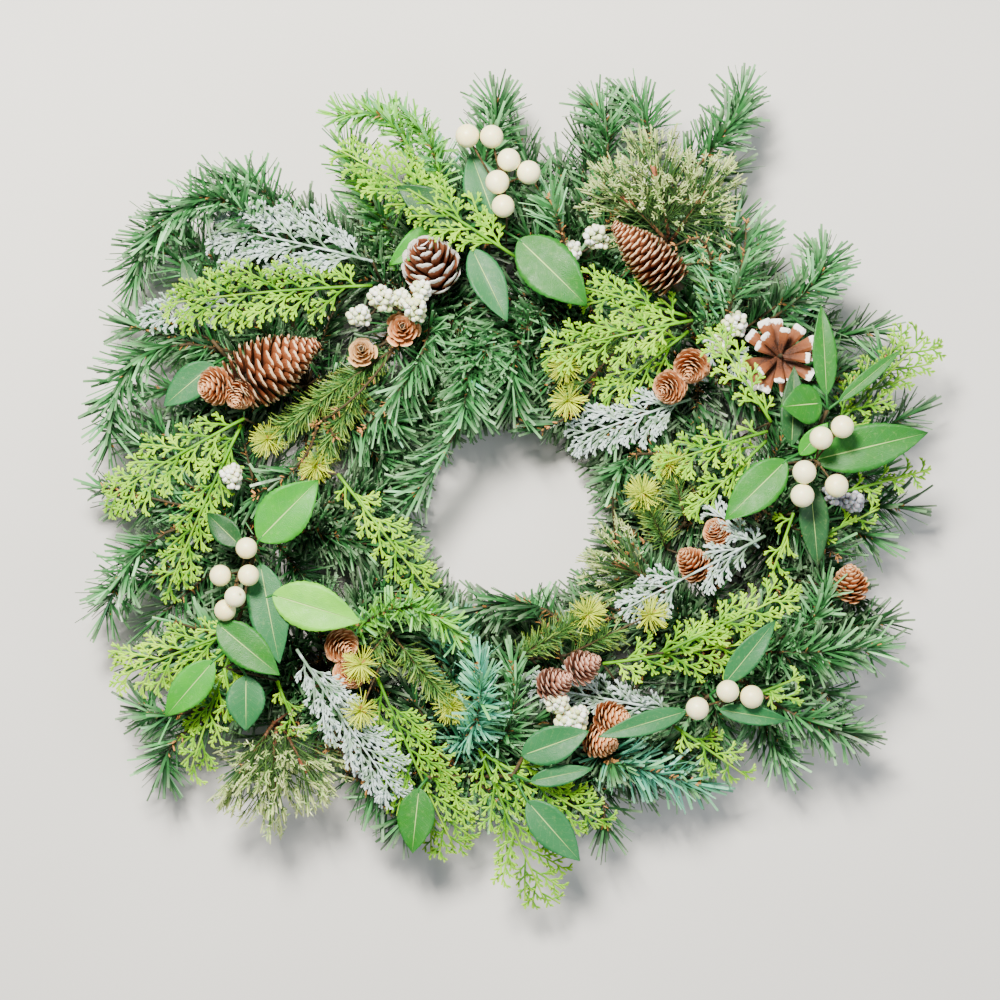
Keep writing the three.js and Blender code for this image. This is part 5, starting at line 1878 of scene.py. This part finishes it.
@dataclass
class BerryCluster(Pick):
    """Bunches of small pale berries, each berry on the outside of a round bunch."""

    bunches: Sequence[Bunch]
    berry: float = 2.25
    knots: int = 5
    berries: int = 10

    parts = "berries"
    skins = (PALE_SKIN,)
    slot = "pale_berry"
    wire = 0.9

    def hearts(self) -> Sequence[Place]:
        """The stalk ends of its bunches."""
        return [bunch.start for bunch in self.bunches]

    def foliage(self, draft: Draft) -> None:
        """Draws each bunch as smaller knots of berries round its middle."""
        for bunch in self.bunches:
            start, end = np.array(bunch.start, float), np.array(bunch.end, float)
            middle = (start + end) / 2
            half = bunch.width / 2
            spread = np.array([half, half, abs(end[2] - start[2]) / 2 + 2]) - 1.7 * self.berry
            for i in range(self.knots):
                knot = middle + scatter(i, self.knots, self.random.random()) * spread
                sweep(draft, np.array([middle, knot]), 0.6, 5, 0.4, 1)
                for j in range(self.berries):
                    way = scatter(j, self.berries, i)
                    at = knot + way * self.berry * self.random.uniform(1.6, 2.1)
                    radius = self.berry * self.random.uniform(0.82, 1.08)
                    SMALL_BALL.draw(draft, at, radius, way, float(self.random.random()))

    def stalks(self, draft: Draft) -> None:
        """Draws a stalk through each bunch."""
        for bunch in self.bunches:
            sweep(draft, np.array([bunch.start, bunch.end], float) * [1, 1, 0.96], 0.9, 6, 0.3, 1)


class GreyCluster(BerryCluster):
    """Bunches of small grey berries."""

    skins = (GREY_SKIN,)


BERRY_CLUSTERS = {
    "berry_cluster_upper_left": (
        Bunch((-91, 148, 88), (-90, 148, 106), 18),
        Bunch((-68, 138, 90), (-64, 142, 112), 17),
        Bunch((-104, 136, 86), (-108, 136, 104), 15),
        Bunch((-62, 154, 88), (-62, 156, 104), 14),
        Bunch((-77, 148, 88), (-77, 149, 102), 12),
    ),
    "berry_cluster_top": (Bunch((62, 194, 66), (61, 196, 86), 18), Bunch((46, 186, 66), (42, 187, 80), 12)),
    "berry_cluster_right": (
        Bunch((160, 132, 66), (161, 134, 84), 17), Bunch((150, 120, 64), (149, 118, 80), 13)
    ),
    "berry_cluster_left": (Bunch((-197, 24, 68), (-196, 24, 84), 16),),
}
GREY_CLUSTER = {
    "grey_berries_right": (Bunch((228, 11, 78), (229, 12, 93), 15), Bunch((241, 5, 76), (242, 6, 90), 14))
}
LOWER_CLUSTER = {
    "pale_berries_lower": (
        Bunch((33, -136, 74), (33, -136, 90), 16),
        Bunch((48, -145, 74), (48, -146, 90), 15),
        Bunch((38, -150, 72), (38, -151, 86), 13),
    )
}


# ---- Cones ----


@dataclass(frozen=True)
class ScaleSet:
    """How a cone's scales stand: how many, how far open at the foot and the tip, and how large in mm."""

    count: int
    open_foot: float
    open_tip: float
    half_width: float
    half_thick: float
    curl: float


class ConeForm(Enum):
    """The kinds of cone."""

    LONG = ScaleSet(116, 100.0, 30.0, 7.8, 1.7, 0.12)
    PAINTED = ScaleSet(46, 60.0, 20.0, 8.0, 1.9, 0.16)
    OPEN = ScaleSet(18, 97.0, 58.0, 4.9, 1.1, 0.02)
    ROSETTE = ScaleSet(30, 82.0, 8.0, 5.2, 1.0, 0.1)
    SMALL = ScaleSet(76, 98.0, 16.0, 4.4, 1.0, 0.12)


CRESCENT = np.array(
    [[1, 0.5], [0.55, -0.35], [0, -0.7], [-0.55, -0.35], [-1, 0.5], [-0.5, 0.1], [0, -0.2], [0.5, 0.1]]
)
SCALE = RodShape(
    (
        (0.0, 0.4, 0.7), (0.35, 0.62, 0.8), (0.66, 0.92, 0.95), (0.82, 1.0, 1.0), (0.93, 0.82, 0.85),
        (1.0, 0.42, 0.5),
    ),
    CRESCENT,
)
OBLONG = RodShape(
    ((0, 0.4, 0.7), (0.3, 0.55, 0.8), (0.66, 0.85, 0.9), (0.86, 1, 1.1), (0.96, 0.97, 1.3), (1, 0.8, 1.1)),
    LOZENGE,
)


THIN_CORE = 1.2  # the radius of the core of an open cone or rosette


@dataclass(frozen=True)
class Cone:
    """One cone from the end at its stem to its far end, with how far its scales stand out."""

    start: Place
    end: Place
    width: float
    flare: float
    form: ConeForm = ConeForm.SMALL


@dataclass
class ConePick(Pick):
    """Up to three cones on a wire, with the finish of each, or of all by turns."""

    cones: Sequence[Cone]
    dry: Sequence[Finish]

    parts = "scales"
    slot = "cone"

    @property
    def skins(self) -> Sequence[Finish]:
        """The finishes of its cones."""
        return self.dry

    def hearts(self) -> Sequence[Place]:
        """A place inside each cone, near its stem."""
        return [np.array(cone.start) * 0.7 + np.array(cone.end) * 0.3 for cone in self.cones]

    def draw(self, draft: Draft, cone: Cone, finish: int) -> None:
        """Draws a cone: a core and its scales in a spiral.

        Args:
            draft: The piece to draw in.
            cone: The cone.
            finish: Which of the piece's finishes it takes.
        """
        made = cone.form.value
        start, end = np.array(cone.start, float), np.array(cone.end, float)
        length = float(np.linalg.norm(end - start))
        axis = (end - start) / length
        side = aside(axis)
        number = np.arange(made.count)
        share = ((number + 0.5) / made.count) ** 0.9
        widest = cone.width / 2 + cone.flare
        swell = np.maximum(np.sin(math.pi * (0.1 + 0.88 * share) ** 0.72), 0.12)
        reach = cone.width / 2 * swell + cone.flare * (1 - 0.8 * share**3)
        core = 0.2 * cone.width * (0.5 + 0.3 * np.sin(math.pi * share)) * (1 - 0.5 * share)
        if cone.form is ConeForm.ROSETTE:
            reach = widest * (1.02 - 0.86 * share)
        if cone.form is ConeForm.OPEN:
            reach = widest * np.where(number < 0.56 * made.count, 1.0, 0.68)
        if cone.form in (ConeForm.ROSETTE, ConeForm.OPEN):
            core = np.full(made.count, THIN_CORE)
        opening = np.radians(made.open_foot + (made.open_tip - made.open_foot) * share)
        size = (reach - core) / np.sin(np.maximum(opening, 0.45))
        size = np.minimum(size, widest * 1.05) * self.random.uniform(0.93, 1.05, made.count)
        turn = GOLDEN * number + self.random.normal(0, 0.06, made.count)
        out = around(turn, side, np.cross(axis, side))
        height = length * (0.06 + 0.92 * share) - np.cos(opening) * size * 0.75
        foot = start + axis * np.maximum(height, 0.5)[:, None] + out * core[:, None]
        way = around(opening, axis, out)
        pattern = OBLONG if cone.form is ConeForm.OPEN else SCALE
        scale_size = np.array([1.0, made.half_width, made.half_thick])
        shape = RodShape(np.array(pattern.stations) * scale_size, pattern.section)
        girth = np.clip(reach / widest, 0.35, 1.0) ** 0.7
        tint = self.random.random(made.count)
        draw_rods(draft, shape, foot, way, np.cross(axis, out), size, made.curl * size, girth, tint, finish)
        spine = start + axis * np.linspace(0, length * 0.9, 6)[:, None]
        sweep(draft, spine, 0.12 * cone.width * np.linspace(1, 0.3, 6) + 0.5, 8, 0.0, self.stem)

    def foliage(self, draft: Draft) -> None:
        """Draws the cones."""
        for i, cone in enumerate(self.cones):
            self.draw(draft, cone, i % len(self.skins))


CONES = {
    "cone_long_left": (
        (
            Cone((-203, 84, 82), (-134, 120, 84), 40, 5, ConeForm.LONG),
            Cone((-200, 90, 78), (-218, 85, 92), 20, 5),
            Cone((-190, 88, 78), (-194, 74, 90), 16, 4),
        ),
        (BROWN_CONE, ORANGE_CONE, ORANGE_CONE),
    ),
    "cone_white_tipped": ((Cone((-51, 160, 68), (-62, 188, 105), 40, 5, ConeForm.PAINTED),), (PAINTED_CONE,)),
    "cone_pair_rosette": (
        (
            Cone((-76, 128, 74), (-76, 130, 92), 18, 6, ConeForm.ROSETTE),
            Cone((-105, 112, 72), (-105, 114, 92), 16, 4, ConeForm.ROSETTE),
        ),
        (ORANGE_CONE, TAN_CONE),
    ),
    "cone_brown_top": ((Cone((122, 158, 76), (72, 204, 88), 26, 5, ConeForm.LONG),), (BROWN_CONE,)),
    "cone_open_right": ((Cone((191, 110, 62), (191, 109, 92), 24, 17, ConeForm.OPEN),), (OPEN_CONE,)),
    "cone_pair_right": (
        (Cone((132, 110, 66), (125, 94, 84), 19, 4), Cone((120, 92, 62), (106, 84, 80), 18, 4)),
        (ORANGE_CONE,),
    ),
    "cone_pair_inner": (
        (Cone((138, -46, 66), (120, -28, 82), 17, 4), Cone((149, -20, 64), (143, -8, 80), 13, 4)),
        (ORANGE_CONE,),
    ),
    "cone_orange_right": ((Cone((242, -64, 62), (240, -38, 76), 18, 5),), (ORANGE_CONE,)),
    "cone_twins": (
        (Cone((20, -128, 78), (43, -116, 90), 19, 3.5), Cone((40, -116, 76), (63, -104, 88), 19, 3.5)),
        (MAUVE_CONE,),
    ),
    "cone_pair_lower": (
        (Cone((60, -148, 66), (84, -145, 78), 19, 4), Cone((52, -160, 64), (76, -166, 74), 17, 4)),
        (ORANGE_CONE,),
    ),
    "cone_pair_lower_left": (
        (Cone((-124, -92, 66), (-112, -100, 82), 19, 4), Cone((-114, -116, 64), (-112, -112, 80), 17, 4)),
        (ORANGE_CONE,),
    ),
}


# ---- Spruce tips and long tufts ----


@dataclass
class TipGroup(Pick):
    """Needled stems with something at the end of each."""

    stems: Sequence[tuple[Place, Place]]

    needle: ClassVar[NeedleKind]
    stem_tint: ClassVar[float]
    needle_tint: ClassVar[float]
    rise = 5.0
    gap = 0.5

    def hearts(self) -> Sequence[Place]:
        """The feet of its stems."""
        return [start for start, _ in self.stems]

    def foliage(self, draft: Draft) -> None:
        """Draws the stems, their needles and their ends."""
        needles = Needles(self.needle, self.canopy, self.random, self.gap)
        for start, end in self.stems:
            branch = Arch(start, end, self.rise)
            needles.stem(draft, branch, self.stem, self.stem_tint)
            needles.dress(draft, branch, self.needle_tint)
            self.crown(draft, branch)

    def crown(self, draft: Draft, branch: Arch) -> None:
        """Draws what stands at the end of a stem."""
        raise NotImplementedError


@dataclass
class SpruceGroup(TipGroup):
    """Fine-needled tips, each with a yellow star at its end."""

    star_depth: float = 3.5
    star_tilt: float = 0.4
    star_tint: float = 0.85
    star_flecks: int = 12

    parts = "tips"
    skins = (SPRUCE_FILM,)
    slot = "spruce"
    needle = SPRUCE
    stem_tint = 0.3
    needle_tint = 0.2

    def crown(self, draft: Draft, branch: Arch) -> None:
        """Draws the yellow star at the end of a stem, its needles spread flat and its heart upwards.

        Args:
            draft: The piece to draw in.
            branch: The stem.
        """
        end = np.array(branch.end, float)
        axis = unit(UP + self.star_tilt * unit(end - np.array(branch.start, float)))
        heart = Arch(end - self.star_depth * axis, end + self.star_depth * axis, 0.0)
        yellow = Needles(STAR, Canopy(), self.random, self.gap)
        yellow.dress(draft, heart, self.star_tint)
        yellow.flecks(draft, heart, self.stem, self.star_flecks)


SPRUCE_TIPS = {
    "spruce_upper_left": (((-84, 116, 66), (-172, 52, 64)), ((-104, 96, 64), (-138, 34, 62))),
    "spruce_top": (((88, 132, 58), (40, 104, 66)), ((84, 124, 56), (42, 80, 62))),
    "spruce_right": (((112, -26, 54), (94, 12, 74)), ((126, -6, 54), (114, 32, 68))),
    "spruce_lower": (((2, -106, 68), (54, -74, 84)), ((40, -102, 66), (98, -74, 82))),
    "spruce_lower_left": (
        ((-84, -84, 70), (-104, -108, 88)),
        ((-80, -92, 66), (-42, -138, 72)),
        ((-88, -100, 66), (-104, -140, 86)),
    ),
}


@dataclass
class LongTuft(TipGroup):
    """Long needles with flocked ends, round a red-brown bud."""

    bud_scales: int = 40
    bud_length: float = 5.0
    bud_girth: float = 2.6

    parts = "needles"
    skins = (TUFT_FILM,)
    slot = "tuft"
    wire = 1.3
    needle = TUFT
    stem_tint = 0.5
    needle_tint = 0.3

    def finishes(self) -> Sequence[Finish]:
        """The needles' film, the bud's scales and the flock."""
        return [*self.skins, BUD, FLOCK]

    def crown(self, draft: Draft, branch: Arch) -> None:
        """Draws the bud at the end of a stem, as scales that lie close.

        Args:
            draft: The piece to draw in.
            branch: The stem.
        """
        number = np.arange(self.bud_scales)
        base, along, side, rise = branch.frames(0.84 + 0.26 * number / self.bud_scales)
        out = around(GOLDEN * number, side, rise)
        size = np.full(self.bud_scales, self.bud_length)
        way, flat = along + 0.45 * out, np.cross(along, out)
        draw_rods(draft, FLECK, base + out, way, flat, size, 0.4, self.bud_girth, 0.7, self.stem)


LONG_TUFTS = {
    "frosted_tuft_top": (
        ((112, 196, 62), (84, 220, 78)), ((114, 200, 62), (104, 240, 76)), ((118, 198, 62), (136, 222, 78))
    ),
    "frosted_tuft_lower_left": (
        ((-168, -150, 58), (-186, -180, 64)),
        ((-166, -154, 58), (-168, -192, 62)),
        ((-162, -152, 58), (-146, -178, 66)),
    ),
    "frosted_tuft_inner": (((106, -52, 50), (80, -38, 58)),),
}


# ---- The setting ----


@dataclass
class Setting:
    """The floor, the lamps and the camera that looks down on the wreath as the photograph does."""

    pixel: float = 0.7135
    centre_pixel: tuple[float, float] = (510.0, 512.0)
    photo_side: float = 1000.0
    view_height: float = 62.0
    lens: float = 85.0
    sensor: float = 36.0
    tilt: float = 4.0
    floor_reach: float = 6.0
    sky_light: float = 0.3

    def aim(self) -> Array:
        """The point that the middle of the photograph shows, in metres."""
        across = (self.photo_side / 2 - self.centre_pixel[0]) * self.pixel
        up = (self.centre_pixel[1] - self.photo_side / 2) * self.pixel
        return MIDDLE + np.array([across, up, self.view_height]) * MM

    def camera(self) -> None:
        """Sets the camera so that a pixel is as wide at the wreath's face as in the photograph."""
        distance = self.photo_side * self.pixel * MM * self.lens / self.sensor
        data = bpy.data.cameras.new("camera")
        data.lens, data.sensor_width = self.lens, self.sensor
        thing = stand("camera", data)
        lean = math.radians(self.tilt)
        thing.location = tuple(self.aim() + distance * np.array([0.0, -math.sin(lean), math.cos(lean)]))
        thing.rotation_euler = (lean, 0.0, 0.0)
        bpy.context.scene.camera = thing

    def lamp(self, name: str, spot: Place, side: float, power: float, colour: str) -> None:
        """Hangs a soft lamp that looks at the wreath.

        Args:
            name: Its name.
            spot: Where it hangs from the wreath's middle, in metres.
            side: The side of its square, in metres.
            power: Its power in watts.
            colour: Its colour.
        """
        data = bpy.data.lights.new(name, "AREA")
        data.energy, data.size, data.color = power, side, tone(colour)[:3]
        thing = stand(name, data)
        place = np.array(spot, float)
        thing.location = tuple(MIDDLE + place)
        x, y, z = unit(-place)
        thing.rotation_euler = (math.acos(-z), 0.0, math.atan2(-x, y))

    def floor(self) -> None:
        """Lays the plain pale floor."""
        make = Recipe("pale_floor")
        colour = make.ramp(make.speckle(400.0), [(0.3, "c8c8c6"), (0.7, "d0d0ce")])
        make.finish(colour, 0.8)
        mesh = bpy.data.meshes.new("floor")
        far = self.floor_reach
        corners = [(-far, -far, 0), (far, -far, 0), (far, far, 0), (-far, far, 0)]
        mesh.from_pydata(corners, [], [(0, 1, 2, 3)])
        mesh.materials.append(make.result)
        stand("floor", mesh)

    def sky(self) -> None:
        """Lets a little even light in from all round."""
        world = bpy.data.worlds.new("studio")
        world.use_nodes = True
        light = world.node_tree.nodes["Background"]
        light.inputs[0].default_value = tone("eef2f6")
        light.inputs[1].default_value = self.sky_light
        bpy.context.scene.world = world

    def build(self) -> None:
        """Sets the camera, the lamps and the floor."""
        self.camera()
        self.floor()
        self.sky()
        self.lamp("key", (-0.35, 0.75, 1.7), 0.45, 134.0, "fff8ec")
        self.lamp("fill", (1.3, -0.5, 1.3), 1.2, 18.0, "f4f8ff")


# ---- The wreath ----


MIXED_PLANS = (ConePick, LeafySprig, CreamSpray)  # their rows hold more than one thing


@dataclass
class Wreath:
    """All the pieces, the picks first, because the pine finds its room under them."""

    seed: int = 24
    pine_seeds: int = 200
    canopy: Canopy = field(default_factory=Canopy)

    def random(self, number: int) -> np.random.Generator:
        """A source of chance of its own for a piece, the same at each run."""
        return np.random.default_rng([self.seed, number])

    def picks(self) -> list[Pick]:
        """Every pick in the order that they are made, each with a source of chance of its own."""
        kinds = (
            (ConePick, CONES), (LeafySprig, LEAFY_SPRIGS), (CreamSpray, CREAM_SPRAYS),
            (BerryCluster, BERRY_CLUSTERS), (CedarSpray, CEDAR_SPRAYS), (JuniperSpray, JUNIPER_SPRAYS),
            (SpruceGroup, SPRUCE_TIPS), (LongTuft, LONG_TUFTS), (CedarSpray, CEDAR_SPRIGS),
            (JuniperSpray, JUNIPER_SPRIGS), (GreyCluster, GREY_CLUSTER), (BerryCluster, LOWER_CLUSTER),
        )
        made: list[Pick] = []
        for kind, plans in kinds:
            for name, plan in plans.items():
                chance = self.random(len(made))
                made.append(kind(name, self.canopy, chance, *(plan if kind in MIXED_PLANS else (plan,))))
        return made

    def build(self) -> None:
        """Makes the ring, the picks and the pine."""
        WireRing().build()
        for pick in self.picks():
            pick.build()
        outline = Outline(tip for tips in PINE_TIPS for tip in tips.outer)
        for number, tips in enumerate(PINE_TIPS):
            PineBunch(number, tips, self.canopy, outline, self.random(self.pine_seeds + number)).build()


def main() -> None:
    """Builds the setting and the wreath, and writes how large the wreath came out."""
    logging.basicConfig(level=logging.INFO, format="%(name)s %(message)s")
    Setting().build()
    Wreath().build()


if __name__ == "__main__":
    main()
